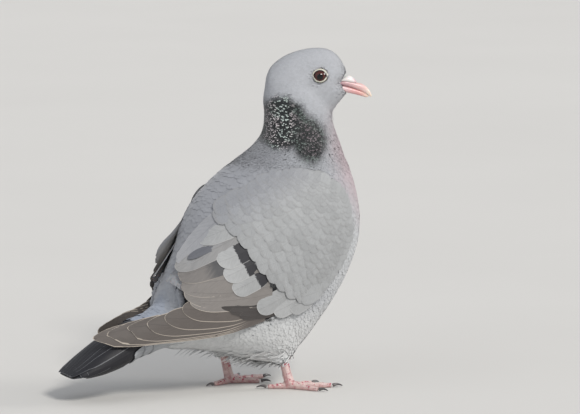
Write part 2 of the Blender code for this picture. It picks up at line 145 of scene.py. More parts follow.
class Bench:
    """Adds nodes to one shader or geometry tree and joins them."""

    def __init__(self, tree: bpy.types.NodeTree) -> None:
        """Takes the tree to work on."""
        self.tree = tree

    def add(
        self, kind: str, values: dict[str | int, object] | None = None, **settings: object
    ) -> Node:
        """A new node.

        Args:
            kind: Its bl_idname.
            values: For each input, a socket to join or a value to set.
            settings: The node's own properties.

        Returns:
            The node.
        """
        node = self.tree.nodes.new(kind)
        for name, value in settings.items():
            setattr(node, name, value)
        for key, value in (values or {}).items():
            if isinstance(value, Socket):
                self.tree.links.new(value, node.inputs[key])
            elif value is not None:
                node.inputs[key].default_value = value
        return node

    def sum(self, operation: str, *terms: object) -> Socket:
        """The result of a Math node on numbers or sockets."""
        return self.add("ShaderNodeMath", dict(enumerate(terms)), operation=operation).outputs[0]

    def rest(self, value: object) -> Socket:
        """One less a value."""
        return self.sum("SUBTRACT", 1.0, value)

    def stray(self, value: object, amount: float, base: object) -> Socket:
        """A base moved up and down by a noise value's distance from one half, times an amount."""
        return self.sum("MULTIPLY_ADD", self.sum("SUBTRACT", value, 0.5), amount, base)

    def vector(self, operation: str, *terms: object) -> Socket:
        """The result of a Vector Math node."""
        node = self.add("ShaderNodeVectorMath", dict(enumerate(terms)), operation=operation)
        return node.outputs["Value" if operation == "LENGTH" else "Vector"]

    def scaled(self, vector: object, factor: object) -> Socket:
        """A vector times a number."""
        return self.add("ShaderNodeVectorMath", {0: vector, "Scale": factor}, operation="SCALE").outputs[0]

    def step(self, value: object, low: object, high: object, top: object = 1.0) -> Socket:
        """A smooth step of value from 0 at low to top at high."""
        values = {"Value": value, "From Min": low, "From Max": high, "To Min": 0.0, "To Max": top}
        return self.add("ShaderNodeMapRange", values, interpolation_type="SMOOTHSTEP").outputs[0]

    def blend(self, factor: object, first: object, second: object, how: str = "MIX") -> Socket:
        """Two colours mixed by a factor."""
        values = {0: factor, 6: solid(first), 7: solid(second)}
        return self.add("ShaderNodeMix", values, data_type="RGBA", blend_type=how).outputs[2]

    def shaded(self, colour: object, shade: object) -> Socket:
        """A colour times a number."""
        grey = self.add("ShaderNodeCombineColor", {0: shade, 1: shade, 2: shade}).outputs[0]
        return self.blend(1.0, colour, grey, "MULTIPLY")

    def noise(self, point: object, scale: float, detail: float = 3.0, rough: float = 0.55) -> Socket:
        """A noise value around one half."""
        values = {"Vector": point, "Scale": scale, "Detail": detail, "Roughness": rough}
        return self.add("ShaderNodeTexNoise", values).outputs[0]

    def place(self) -> Socket:
        """The place on a piece, in metres, in a shader."""
        return self.add("ShaderNodeTexCoord").outputs["Object"]

    def read(self, name: str, output: str = "Fac") -> Socket:
        """An attribute of the mesh, in a shader."""
        return self.add("ShaderNodeAttribute", attribute_name=name).outputs[output]

    def named(self, name: str, kind: str = "FLOAT") -> Socket:
        """An attribute of the mesh, in a geometry tree."""
        return self.add("GeometryNodeInputNamedAttribute", {"Name": name}, data_type=kind).outputs[0]

    def keep(
        self, geometry: object, name: str, value: object, kind: str = "FLOAT", domain: str = "POINT"
    ) -> Socket:
        """Stores an attribute in a geometry tree and passes the geometry on."""
        values = {"Geometry": geometry, "Name": name, "Value": value}
        return self.add("GeometryNodeStoreNamedAttribute", values, data_type=kind, domain=domain).outputs[0]


def new_group(
    name: str, kind: str, takes: dict[str, tuple[str, object]], gives: dict[str, str]
) -> tuple[Bench, dict[str, Socket], Node]:
    """A node group with named sockets.

    Args:
        name: The group's name.
        kind: "ShaderNodeTree" or "GeometryNodeTree".
        takes: For each input, its socket's kind and its default value or None.
        gives: For each output, its socket's kind.

    Returns:
        The group's bench, its inputs by name, and its output node.
    """
    tree = bpy.data.node_groups.new(name, kind)
    for label, (socket, default) in takes.items():
        item = tree.interface.new_socket(label, in_out="INPUT", socket_type="NodeSocket" + socket)
        if default is not None:
            item.default_value = default
    for label, socket in gives.items():
        tree.interface.new_socket(label, in_out="OUTPUT", socket_type="NodeSocket" + socket)
    bench = Bench(tree)
    entry = bench.add("NodeGroupInput")
    return bench, {label: entry.outputs[label] for label in takes}, bench.add("NodeGroupOutput")


def use_group(bench: Bench, name: str, values: dict[str, object]) -> Node:
    """Places a node group in a tree."""
    kind = bench.tree.bl_idname.replace("NodeTree", "NodeGroup")
    return bench.add(kind, values, node_tree=bpy.data.node_groups[name])


def new_material(name: str, **settings: object) -> tuple[Material, Bench, Node]:
    """A material to build on.

    Args:
        name: Its name.
        settings: Values for its shader's own sockets.

    Returns:
        The material, its bench and its Principled shader.
    """
    material = bpy.data.materials.new(name)
    material.use_nodes = True
    bench = Bench(material.node_tree)
    shader = material.node_tree.nodes["Principled BSDF"]
    for key, value in settings.items():
        shader.inputs[key.replace("_", " ")].default_value = value
    return material, bench, shader


def join(
    bench: Bench, shader: Node, height: Socket | None = None, reach: float = 0.0, **sockets: Socket
) -> None:
    """Joins values to a shader, with a bump where a height is given.

    Args:
        bench: The material's bench.
        shader: Its shader.
        height: What the bump follows.
        reach: The bump's depth, in metres.
        sockets: A value for each of the shader's sockets.
    """
    for key, value in sockets.items():
        bench.tree.links.new(value, shader.inputs[key.replace("_", " ")])
    if height is not None:
        bump = bench.add("ShaderNodeBump", {"Height": height, "Distance": reach, "Strength": 1.0})
        bench.tree.links.new(bump.outputs[0], shader.inputs["Normal"])


# ---------------------------------------------------------------- finishes


@dataclass(frozen=True)
class Patch:
    """One soft-edged place on the bird: an ellipsoid in the pose's space.

    Attributes:
        centre: Its middle.
        radii: Its half sizes.
        lean: Its turn about the Y axis, in degrees.
        turn: Its turn about the Z axis, in degrees.
        soft: The width of its edge as a part of its radius.
    """

    centre: Triple
    radii: Triple
    lean: float = 0.0
    turn: float = 0.0
    soft: float = 0.25

    def mask(self, bench: Bench, point: Socket) -> Socket:
        """How far a point lies inside, from 0 to 1.

        Args:
            bench: Where the patch group is placed.
            point: The point, in the frame's metres.

        Returns:
            The mask.
        """
        values = {
            "Point": point,
            "Centre": tuple(framed(self.centre)),
            "Radii": tuple(MM * r for r in self.radii),
            "Turn": (0.0, math.radians(self.lean), math.radians(-self.turn)),
            "Softness": self.soft,
        }
        return use_group(bench, "patch", values).outputs["Mask"]


def neck_patch(ahead: float, up: float, half: float, tall: float, soft: float, lean: float = 0.0) -> Patch:
    """A patch right through the turned neck.

    Args:
        ahead: Its middle's distance ahead of the neck's axis.
        up: Its middle's height.
        half: Half its length along the head.
        tall: Half its height.
        soft: The width of its edge as a part of its radius.
        lean: Its turn in the side view, in degrees.

    Returns:
        The patch.
    """
    return Patch(tuple(head_point(ahead, 0, up)), (half, 60, tall), lean, math.degrees(HEAD_TURN), soft)


SLATE = (0.36, 0.372, 0.398)  # the plumage where no marking lies
FLANK = (0.385, 0.395, 0.402)
MARKINGS: tuple[tuple[Patch, Colour, float], ...] = (  # a place, its colour and how far that covers
    (Patch((5, 0, 28), (100, 60, 40), soft=0.35), (0.60, 0.61, 0.615), 1.0),
    # The paler front of the breast is partly its own colour and partly a painted highlight.
    (Patch((58, 0, 92), (26, 60, 48), soft=0.4), (0.52, 0.535, 0.55), 0.8),
    (Patch((0, -46, 98), (52, 22, 46), soft=0.2), FLANK, 1.0),
    (Patch((0, 46, 98), (52, 22, 46), soft=0.2), FLANK, 1.0),
    (Patch((-26, 0, 146), (70, 34, 30), lean=38, soft=0.35), (0.275, 0.283, 0.308), 1.0),
    (Patch((-90, 0, 60), (34, 22, 26), lean=20), (0.300, 0.330, 0.390), 1.0),
    (Patch((38, -4, 212), (34, 30, 27), soft=0.3), (0.42, 0.432, 0.462), 1.0),
    (Patch((60, -6, 152), (19, 34, 33), lean=14, soft=0.5), (0.43, 0.35, 0.375), 1.0),
)
NECK_SHIELD = (neck_patch(-8, 183, 18.5, 19.5, 0.16), neck_patch(7, 176, 11.5, 18, 0.25, lean=20))
# Where painted glints lie: pale specks of painted highlight on the neck's dark shield.
GLINTS = neck_patch(-9.5, 183, 8.5, 20, 0.5)


def build_patch_group() -> None:
    """Builds the group that masks one soft, ragged ellipsoid."""
    takes = {key: ("Vector", None) for key in ("Point", "Centre", "Radii", "Turn")}
    takes["Softness"] = ("Float", 0.2)
    bench, given, out = new_group("patch", "ShaderNodeTree", takes, {"Mask": "Float"})
    values = {"Vector": bench.vector("SUBTRACT", given["Point"], given["Centre"]), "Rotation": given["Turn"]}
    turned = bench.add("ShaderNodeVectorRotate", values, rotation_type="EULER_XYZ").outputs[0]
    size = bench.sum("SUBTRACT", bench.vector("LENGTH", bench.vector("DIVIDE", turned, given["Radii"])), 0.12)
    ragged = bench.sum("MULTIPLY_ADD", bench.noise(given["Point"], 190.0), 0.24, size)
    mask = bench.step(ragged, bench.rest(given["Softness"]), bench.sum("ADD", 1.0, given["Softness"]))
    bench.tree.links.new(bench.rest(mask), out.inputs["Mask"])


def build_marking_group() -> None:
    """Builds the group with the bird's colours, shared by the skin and the coat, with painted sheen and
    painted glints on the neck's dark shield.
    """
    takes = {"Point": ("Vector", None), "Tone": ("Float", 0.5)}
    gives = {"Color": "Color", "Shield": "Float"}
    bench, given, out = new_group("markings", "ShaderNodeTree", takes, gives)
    point, colour = given["Point"], SLATE
    for patch, paint, strength in MARKINGS:
        colour = bench.blend(bench.sum("MULTIPLY", patch.mask(bench, point), strength), colour, paint)
    shield = bench.sum("MAXIMUM", *(patch.mask(bench, point) for patch in NECK_SHIELD))
    hue = bench.noise(point, 90.0, 1.0)
    # The shield's dark feathers take green and purple flecks: partly their own iridescent colour, partly
    # painted sheen.
    gloss = bench.blend(bench.step(hue, 0.40, 0.62), (0.108, 0.138, 0.126), (0.148, 0.124, 0.137))
    gloss = bench.blend(bench.step(given["Tone"], 0.35, 0.75), (0.018, 0.021, 0.022), gloss)
    # Painted glints: pale specks of painted highlight on the feather tips inside GLINTS.
    painted_glint = bench.blend(bench.step(hue, 0.44, 0.56), (0.62, 0.70, 0.66), (0.78, 0.72, 0.73))
    glint = bench.sum("MULTIPLY", GLINTS.mask(bench, point), bench.step(given["Tone"], 0.52, 0.68))
    gloss = bench.blend(glint, gloss, painted_glint)
    bench.tree.links.new(bench.blend(shield, colour, gloss), out.inputs["Color"])
    bench.tree.links.new(shield, out.inputs["Shield"])


def build_barb_group() -> None:
    """Builds the group that draws a feather's shaft and barbs on its vane map."""
    takes = {"Vane": ("Vector", None), "Root": ("Vector", None)}
    takes |= {"Barbs": ("Float", 60.0), "Shaft": ("Float", 0.04)}
    gives = dict.fromkeys(("Height", "Across", "Along", "Shaft", "Streak"), "Float")
    bench, given, out = new_group("barbs", "ShaderNodeTree", takes, gives)
    side, length, _ = bench.add("ShaderNodeSeparateXYZ", {0: given["Vane"]}).outputs
    across = bench.sum("ABSOLUTE", bench.sum("MULTIPLY_ADD", side, 2.0, -1.0))
    slant = bench.sum("SUBTRACT", length, bench.sum("MULTIPLY", across, 0.22))
    one_turn = 6.283  # radians from barb to barb
    wave = bench.sum("SINE", bench.sum("MULTIPLY", slant, bench.sum("MULTIPLY", given["Barbs"], one_turn)))
    shaft = bench.rest(bench.step(across, bench.sum("MULTIPLY", given["Shaft"], 0.5), given["Shaft"]))
    stretched = {0: bench.sum("MULTIPLY", slant, 30.0), 1: bench.sum("MULTIPLY", across, 2.5)}
    cell = bench.add("ShaderNodeCombineXYZ", stretched).outputs[0]
    streak = bench.noise(bench.vector("ADD", cell, bench.scaled(given["Root"], 900.0)), 1.0, 2.0)
    height = bench.sum("MULTIPLY_ADD", wave, 0.25, bench.sum("MULTIPLY_ADD", streak, 0.8, shaft))
    for key, value in zip(gives, (height, across, length, shaft, streak)):
        bench.tree.links.new(value, out.inputs[key])


def place_barbs(bench: Bench, count: float, shaft: float) -> tuple[dict[str, Socket], Socket]:
    """Places the barbs' group on a feather's own map.

    Args:
        bench: The material's bench.
        count: How many barbs there are along a vane.
        shaft: The shaft's width as a part of half the vane.

    Returns:
        The group's outputs by name, and the place of the feather's root.
    """
    root = bench.read("root", "Vector")
    values = {"Vane": bench.read("Vane", "Vector"), "Root": root, "Barbs": count, "Shaft": shaft}
    return {socket.name: socket for socket in use_group(bench, "barbs", values).outputs}, root


@dataclass(frozen=True)
class CoatFinish:
    """The small feathers: marked by their roots, with a soft paler fringe.

    Attributes:
        name: The material's name.
        barbs: How many barbs there are along a vane.
        fringe: How far the tip pales.
        relief: The depth of the barbs, in metres.
        fleck: How much one feather differs from the next.
    """

    name: str
    barbs: float = 9.0
    fringe: float = 0.05
    relief: float = 0.00005
    fleck: float = 0.10

    def build(self) -> Material:
        """Builds and returns the material."""
        material, bench, shader = new_material(
            self.name, Sheen_Weight=0.25, Sheen_Roughness=0.5, Specular_IOR_Level=0.35)
        tone = bench.read("tone")
        barbs, root = place_barbs(bench, self.barbs, 0.06)
        # The painted glints and the strongest painted sheen fall on the feathers' tips.
        tipped = bench.sum("MULTIPLY_ADD", bench.step(barbs["Along"], 0.80, 0.85), 0.45, 0.55)
        marks = use_group(bench, "markings", {"Point": root, "Tone": bench.sum("MULTIPLY", tone, tipped)})
        colour, shield = marks.outputs
        shade = bench.sum("MULTIPLY_ADD", tone, self.fleck, 1.0 - 0.5 * self.fleck)
        shade = bench.stray(barbs["Streak"], 0.22, shade)
        root_shadow = 0.10
        deep = bench.step(barbs["Along"], 0.0, 0.55, root_shadow)
        shade = bench.sum("ADD", shade, bench.sum("SUBTRACT", deep, root_shadow))
        tip = bench.step(bench.sum("MAXIMUM", barbs["Along"], barbs["Across"]), 0.80, 0.97, self.fringe)
        shade = bench.sum("ADD", shade, bench.sum("MULTIPLY", tip, bench.rest(shield)))
        rough = bench.sum("MULTIPLY_ADD", shield, -0.34, 0.76)
        metal = bench.sum("MULTIPLY", shield, 0.35)
        colour = bench.shaded(colour, shade)
        join(bench, shader, barbs["Height"], self.relief, Base_Color=colour, Roughness=rough, Metallic=metal)
        return material


@dataclass(frozen=True)
class QuillFinish:
    """The large feathers: their own tint, a rim along the edge and an inked place.

    Attributes:
        name: The material's name.
        barbs: How many barbs there are along a vane.
        rim: The rim's width as a part of the vane's half width.
        relief: The depth of the barbs, in metres.
        blur: How softly the ink starts, as a part of the length.
        fade: How softly the ink ends.
        taper: Where along it the vane's tip begins to close.
        close: How thin the rim is at the very tip.
        shaft: How dark the shaft is.
        sheen: How soft its shine is.
        inked: The colour of the inked place.
    """

    name: str
    barbs: float = 34.0
    rim: float = 0.075
    relief: float = 0.00005
    blur: float = 0.015
    fade: float = 0.015
    taper: float = 0.72
    close: float = 90.0
    shaft: float = 0.3
    sheen: float = 0.12
    inked: Colour = (0.030, 0.030, 0.035)

    def build(self) -> Material:
        """Builds and returns the material."""
        material, bench, shader = new_material(self.name, Sheen_Weight=self.sheen, Specular_IOR_Level=0.4)
        barbs, _ = place_barbs(bench, self.barbs, 0.05)
        across, length, streak = (barbs[key] for key in ("Across", "Along", "Streak"))
        shade = bench.stray(streak, 0.35, bench.sum("MULTIPLY_ADD", bench.read("tone"), 0.14, 0.93))
        colour = bench.shaded(bench.read("tint", "Color"), shade)
        colour = bench.blend(self.ink_mask(bench, across, length, streak), colour, self.inked)
        wide = bench.sum("MULTIPLY", across, across)
        late = bench.sum("POWER", bench.step(length, self.taper, 1.0), self.close)
        both = bench.sum("SUBTRACT", bench.sum("ADD", wide, late), bench.sum("MULTIPLY", wide, late))
        edge = bench.step(bench.sum("SQRT", both), 1.0 - self.rim, 1.0 - self.rim * 0.5)
        edge = bench.sum("MULTIPLY", edge, bench.step(length, 0.1, 0.3))
        edge = bench.sum("MULTIPLY", edge, bench.read("trim"))
        colour = bench.blend(edge, colour, bench.read("rim", "Color"))
        colour = bench.blend(bench.sum("MULTIPLY", barbs["Shaft"], self.shaft), colour, (0.06, 0.055, 0.055))
        rough = bench.sum("MULTIPLY_ADD", streak, 0.2, 0.46)
        join(bench, shader, barbs["Height"], self.relief, Base_Color=colour, Roughness=rough)
        return material

    def ink_mask(self, bench: Bench, across: Socket, length: Socket, streak: Socket) -> Socket:
        """Where a feather's dark mark lies, by its "ink" attribute.

        Args:
            bench: The material's bench.
            across: The distance from the shaft.
            length: The distance from the root.
            streak: The noise that makes the mark's ends ragged.

        Returns:
            The mask.
        """
        start, end, reach = bench.add("ShaderNodeSeparateXYZ", {0: bench.read("ink", "Vector")}).outputs
        ragged = bench.stray(streak, 0.10, length)
        after, before = (
            bench.step(ragged, bench.sum("SUBTRACT", place, soft), bench.sum("ADD", place, soft))
            for place, soft in ((start, self.blur), (end, self.fade)))
        inner = bench.rest(bench.step(across, bench.sum("SUBTRACT", reach, 0.12), reach))
        return bench.sum("MULTIPLY", bench.sum("MULTIPLY", after, bench.rest(before)), inner)


@dataclass(frozen=True)
class SkinFinish:
    """The skin under the feathers, marked as they are.

    Attributes:
        name: The material's name.
    """

    name: str = "dove skin"

    def build(self) -> Material:
        """Builds and returns the material."""
        material, bench, shader = new_material(self.name, Sheen_Weight=0.2)
        point = bench.place()
        marks = use_group(bench, "markings", {"Point": point, "Tone": bench.noise(point, 900.0)})
        down = bench.noise(point, 1400.0, 4.0)
        colour = bench.blend(bench.step(down, 0.2, 0.8, 0.6), marks.outputs["Color"], (0.23, 0.235, 0.25))
        rough = bench.sum("MULTIPLY_ADD", down, 0.2, 0.7)
        join(bench, shader, down, 0.0003, Base_Color=colour, Roughness=rough)
        return material


@dataclass(frozen=True)
class FleshFinish:
    """Bare skin: two colours in a fine mottle over small grains.

    Attributes:
        name: The material's name.
        first: Its main colour.
        second: The colour of its spots.
        scale: How fine the spots are, per metre.
        amount: How much of it the spots take.
        rough: Its roughness.
        grain: The depth of its grains, in metres.
    """

    name: str
    first: Colour
    second: Colour
    scale: float = 500.0
    amount: float = 0.5
    rough: float = 0.5
    grain: float = 0.00015

    def build(self) -> Material:
        """Builds and returns the material."""
        material, bench, shader = new_material(
            self.name, Subsurface_Weight=0.06, Subsurface_Scale=0.002, Coat_Weight=0.08)
        point = bench.place()
        mottle = bench.noise(point, self.scale)
        spots = bench.step(mottle, 0.62 - self.amount * 0.3, 0.72 - self.amount * 0.2)
        colour = bench.blend(spots, self.first, self.second)
        values = {"Vector": point, "Scale": self.scale * 3.0}
        cells = bench.add("ShaderNodeTexVoronoi", values).outputs["Distance"]
        colour = bench.blend(bench.step(cells, 0.1, 0.7, 0.25), colour, tuple(0.7 * c for c in self.first))
        rough = bench.sum("MULTIPLY_ADD", mottle, 0.2, self.rough - 0.1)
        join(bench, shader, bench.rest(cells), self.grain, Base_Color=colour, Roughness=rough)
        return material


@dataclass(frozen=True)
class ScuteFinish:
    """The overlapping plates of the legs, pink with crimson spots.

    Attributes:
        name: The material's name.
    """

    name: str = "leg scutes"

    def build(self) -> Material:
        """Builds and returns the material."""
        material, bench, shader = new_material(
            self.name, Subsurface_Weight=0.05, Subsurface_Scale=0.001, Coat_Weight=0.15)
        point = bench.place()
        _, length, _ = bench.add("ShaderNodeSeparateXYZ", {0: bench.read("Vane", "Vector")}).outputs
        spot = bench.step(bench.sum("ADD", bench.read("tone"), bench.noise(point, 400.0)), 1.24, 1.34)
        colour = bench.blend(spot, (0.64, 0.47, 0.45), (0.42, 0.06, 0.10))
        pale = bench.step(length, 0.72, 0.98, 0.5)
        colour = bench.blend(pale, colour, (0.76, 0.67, 0.64))
        rough = bench.sum("MULTIPLY_ADD", bench.noise(point, 900.0), 0.25, 0.35)
        join(bench, shader, bench.noise(point, 2600.0), 0.0001, Base_Color=colour, Roughness=rough)
        return material


@dataclass(frozen=True)
class HornFinish:
    """Horn that changes colour along a piece's own "grow" attribute, from its base to its tip.

    Attributes:
        name: The material's name.
        base: The colour at the base.
        middle: The colour halfway.
        tip: The colour at the tip.
        gloss: The strength of its clear coat.
    """

    name: str
    base: Colour
    middle: Colour
    tip: Colour
    gloss: float = 0.4

    def build(self) -> Material:
        """Builds and returns the material."""
        material, bench, shader = new_material(
            self.name, Subsurface_Weight=0.08, Subsurface_Scale=0.001,
            Coat_Weight=self.gloss, Coat_Roughness=0.25)
        fibre = bench.noise(bench.place(), 700.0, 4.0, 0.6)
        place = bench.stray(fibre, 0.5, bench.read("grow"))
        colour = bench.blend(bench.step(place, 0.05, 0.55), self.base, self.middle)
        colour = bench.blend(bench.step(place, 0.5, 1.0), colour, self.tip)
        colour = bench.blend(bench.step(fibre, 0.55, 0.8, 0.4), colour, self.base)
        rough = bench.sum("MULTIPLY_ADD", fibre, 0.25, 0.25)
        join(bench, shader, fibre, 0.00012, Base_Color=colour, Roughness=rough)
        return material


@dataclass(frozen=True)
class EyeFinish:
    """The eye: a black pupil in a dark red-brown iris under a wet surface.

    Attributes:
        name: The material's name.
        pupil: The pupil's radius, in metres.
        iris: The iris's radius, in metres.
    """

    name: str = "dove eye"
    pupil: float = 0.0021
    iris: float = 0.0043

    def build(self) -> Material:
        """Builds and returns the material."""
        material, bench, shader = new_material(
            self.name, Coat_Weight=0.7, Coat_Roughness=0.02, Specular_IOR_Level=0.1)
        radius = bench.read("radius")
        fibre = bench.noise(bench.place(), 1500.0, 4.0)
        iris = bench.blend(bench.step(fibre, 0.35, 0.7), (0.030, 0.006, 0.005), (0.105, 0.022, 0.013))
        iris = bench.blend(bench.step(radius, self.iris * 0.82, self.iris), iris, (0.012, 0.006, 0.006))
        wide = bench.sum("MULTIPLY_ADD", fibre, 0.0003, radius)
        colour = bench.blend(bench.step(wide, self.pupil, self.pupil * 1.12), (0.003, 0.003, 0.0035), iris)
        rough = bench.sum("MULTIPLY_ADD", fibre, 0.06, 0.08)
        join(bench, shader, Base_Color=colour, Roughness=rough)
        return material


# ---------------------------------------------------------------- meshes


HELPERS: list[bpy.types.Object] = []  # what only shapes other pieces, and goes at the end


def helper(made: bpy.types.Object) -> bpy.types.Object:
    """Hides an object that only shapes others and lists it for removal.

    Args:
        made: The object.

    Returns:
        The same object.
    """
    made.hide_render = True
    HELPERS.append(made)
    return made


def placed(name: str, data: bpy.types.ID) -> bpy.types.Object:
    """A new object of the scene.

    Args:
        name: Its name.
        data: The mesh, curve or light that it shows.

    Returns:
        The object.
    """
    made = bpy.data.objects.new(name, data)
    bpy.context.scene.collection.objects.link(made)
    return made


def new_mesh(name: str, points: Rows, faces: Sequence[Sequence[int]] = ()) -> Mesh:
    """A smooth-shaded mesh from frame points and faces.

    Args:
        name: Its name.
        points: Its vertices, in metres.
        faces: The vertices of each face; none for loose points.

    Returns:
        The mesh.
    """
    mesh = bpy.data.meshes.new(name)
    mesh.from_pydata([tuple(p) for p in points], [], [tuple(f) for f in faces])
    mesh.polygons.foreach_set("use_smooth", [True] * len(mesh.polygons))
    return mesh


def outward(made: bpy.types.Object) -> None:
    """Turns the faces of a closed shape outwards.

    Args:
        made: The object whose mesh is turned.
    """
    bm = bmesh.new()
    bm.from_mesh(made.data)
    bmesh.ops.recalc_face_normals(bm, faces=bm.faces)
    bm.to_mesh(made.data)
    bm.free()


def loft(rows: int, count: int) -> list[list[int]]:
    """The faces between rings of points, one ring after another.

    Args:
        rows: How many rings there are.
        count: How many points each ring has.

    Returns:
        One face for each place on each ring but the last.
    """
    corners = ((0, 0), (0, 1), (1, 1), (1, 0))
    return [[(i + up) * count + (j + on) % count for up, on in corners]
            for i in range(rows - 1) for j in range(count)]


def tube(name: str, rings: Rows, count: int) -> bpy.types.Object:
    """A tube closed at both ends.

    Args:
        name: Its name.
        rings: Its points in the pose, ring after ring.
        count: How many points each ring has.

    Returns:
        The object.
    """
    first, last = list(range(count)), list(range(len(rings) - count, len(rings)))
    faces = [*loft(len(rings) // count, count), first[::-1], last]
    made = placed(name, new_mesh(name, framed(rings), faces))
    outward(made)
    return made


def applied(made: bpy.types.Object) -> bpy.types.Object:
    """Turns an object's modifiers into plain mesh and removes them.

    Args:
        made: The object.

    Returns:
        The same object.
    """
    graph = bpy.context.evaluated_depsgraph_get()
    mesh = bpy.data.meshes.new_from_object(made.evaluated_get(graph), depsgraph=graph)
    made.modifiers.clear()
    made.data = mesh
    return made


def put(mesh: Mesh, name: str, values: Sequence[object] | Rows) -> None:
    """Writes a point attribute of a mesh: numbers, vectors of three or colours of four.

    Args:
        mesh: The mesh.
        name: The attribute's name.
        values: One number or row for each vertex.
    """
    rows = np.ascontiguousarray(values, np.float32)
    width = rows.shape[1] if rows.ndim == 2 else 1
    kind, key = {1: ("FLOAT", "value"), 3: ("FLOAT_VECTOR", "vector"), 4: ("FLOAT_COLOR", "color")}[width]
    layer = mesh.attributes.get(name) or mesh.attributes.new(name, kind, "POINT")
    layer.data.foreach_set(key, rows.ravel())


def read_rows(source: bpy.types.bpy_prop_collection, key: str) -> Rows:
    """One vector of three from each item of a collection.

    Args:
        source: The collection.
        key: The name of the vector's property.

    Returns:
        A row for each item.
    """
    flat = np.empty(len(source) * 3, np.float32)
    source.foreach_get(key, flat)
    return flat.reshape(-1, 3).astype(float)


def points_of(mesh: Mesh) -> Rows:
    """A mesh's vertices, in metres."""
    return read_rows(mesh.vertices, "co")


def normals_of(mesh: Mesh) -> Rows:
    """A mesh's vertex normals."""
    return read_rows(mesh.vertex_normals, "vector")


def move(mesh: Mesh, points: Rows) -> None:
    """Puts a mesh's vertices at new places, in metres."""
    mesh.vertices.foreach_set("co", points.astype(np.float32).ravel())
    mesh.update()


def tree_of(mesh: Mesh, points: Rows) -> BVHTree:
    """A search tree of a mesh's faces, with its vertices at the points given."""
    return BVHTree.FromPolygons([tuple(p) for p in points], [tuple(face.vertices) for face in mesh.polygons])


def relaxed(mesh: Mesh, values: Rows, rounds: int) -> Rows:
    """Values at a mesh's vertices, evened out along its edges.

    Args:
        mesh: The mesh.
        values: One row for each vertex.
        rounds: How often to average.

    Returns:
        The smoothed values.
    """
    edges = np.empty(len(mesh.edges) * 2, np.int32)
    mesh.edges.foreach_get("vertices", edges)
    a, b = edges.reshape(-1, 2).T
    count = np.bincount(np.concatenate((a, b)), minlength=len(values))[:, None]
    values = values.reshape(len(values), -1).copy()
    for _ in range(rounds):
        total = np.zeros_like(values)
        for column, old in enumerate(values.T):
            total[:, column] = np.bincount(a, old[b], len(values)) + np.bincount(b, old[a], len(values))
        values += (total / np.maximum(count, 1) - values) * 0.5
    return values


def solids(names: Sequence[str], swell: float, tuck: float = 0.0) -> bpy.types.Object:
    """A merged, slightly swollen copy of some of the frame's nodes.

    Args:
        names: The nodes.
        swell: How far each surface moves out, in millimetres.
        tuck: How far the coverts, but for their front edge, move towards the middle, in millimetres.

    Returns:
        One object with all of them, still as separate shells.
    """
    points, faces = [], []
    for name in names:
        bm = bmesh.new()
        bm.from_mesh(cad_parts[name].data)
        bmesh.ops.remove_doubles(bm, verts=bm.verts, dist=2e-6)
        bm.normal_update()
        bm.verts.index_update()
        faces += [[len(points) + vert.index for vert in face.verts] for face in bm.faces]
        slide = {"coverts_right": tuck, "coverts_left": -tuck}.get(name, 0.0) * MM
        for vert in bm.verts:
            aside = slide * float(ease(vert.co.x / MM, 90, 80))
            points.append(vert.co + vert.normal * swell * MM + Vector((0, aside, 0)))
        bm.free()
    return placed("solids", new_mesh("solids", points, faces))


def fused(source: bpy.types.Object, voxel: float, rounds: int, keep: float) -> bpy.types.Object:
    """One closed, smoothed surface round an object's shells.

    Args:
        source: The shells. It is removed.
        voxel: The size of its cells, in millimetres.
        rounds: How many smoothing rounds it gets.
        keep: The least size of a shell that stays, as a part of the largest.

    Returns:
        The same object with its new mesh.
    """
    remesh = source.modifiers.new("fuse", "REMESH")
    remesh.mode, remesh.voxel_size, remesh.use_smooth_shade = "VOXEL", voxel * MM, True
    made = applied(source)
    mesh = made.data
    bm = bmesh.new()
    bm.from_mesh(mesh)
    seen, shells = set(), []
    for vert in bm.verts:
        if vert.index not in seen:
            shell, edge = {vert.index}, [vert]
            while edge:
                near = [e.other_vert(v) for v in edge for e in v.link_edges]
                edge = list({v.index: v for v in near if v.index not in shell}.values())
                shell.update(v.index for v in edge)
            seen |= shell
            shells.append(shell)
    pockets = set().union(*(shell for shell in shells if len(shell) < keep * max(map(len, shells))))
    bmesh.ops.delete(bm, geom=[vert for vert in bm.verts if vert.index in pockets], context="VERTS")
    bm.to_mesh(mesh)
    bm.free()
    move(mesh, relaxed(mesh, points_of(mesh), rounds))
    return made


def sink(made: bpy.types.Object, depth: Callable[[Rows], Rows], turns: int = 5) -> None:
    """Moves a surface inwards, less where what lies behind it is near.

    Args:
        made: The surface.
        depth: Gives how far each point of the pose goes in, in millimetres.
        turns: How many steps it takes.
    """
    mesh = made.data
    points, normals = points_of(mesh), normals_of(mesh)
    tree = tree_of(mesh, points)
    deep = depth(posed(points))
    clear, reach = 0.2, 14.0  # where a ray starts under the surface, and how far it looks
    for index, (point, normal) in enumerate(zip(points, normals)):
        far = tree.ray_cast(Vector(point - normal * clear * MM), Vector(-normal), reach * MM)[3]
        deep[index] = min(deep[index], reach if far is None else 0.42 * (far / MM + clear))
    deep = relaxed(mesh, deep, 8)
    for _ in range(turns):
        move(mesh, relaxed(mesh, points_of(mesh) - normals_of(mesh) * deep * MM / turns, 1))


# ---------------------------------------------------------------- laying feathers


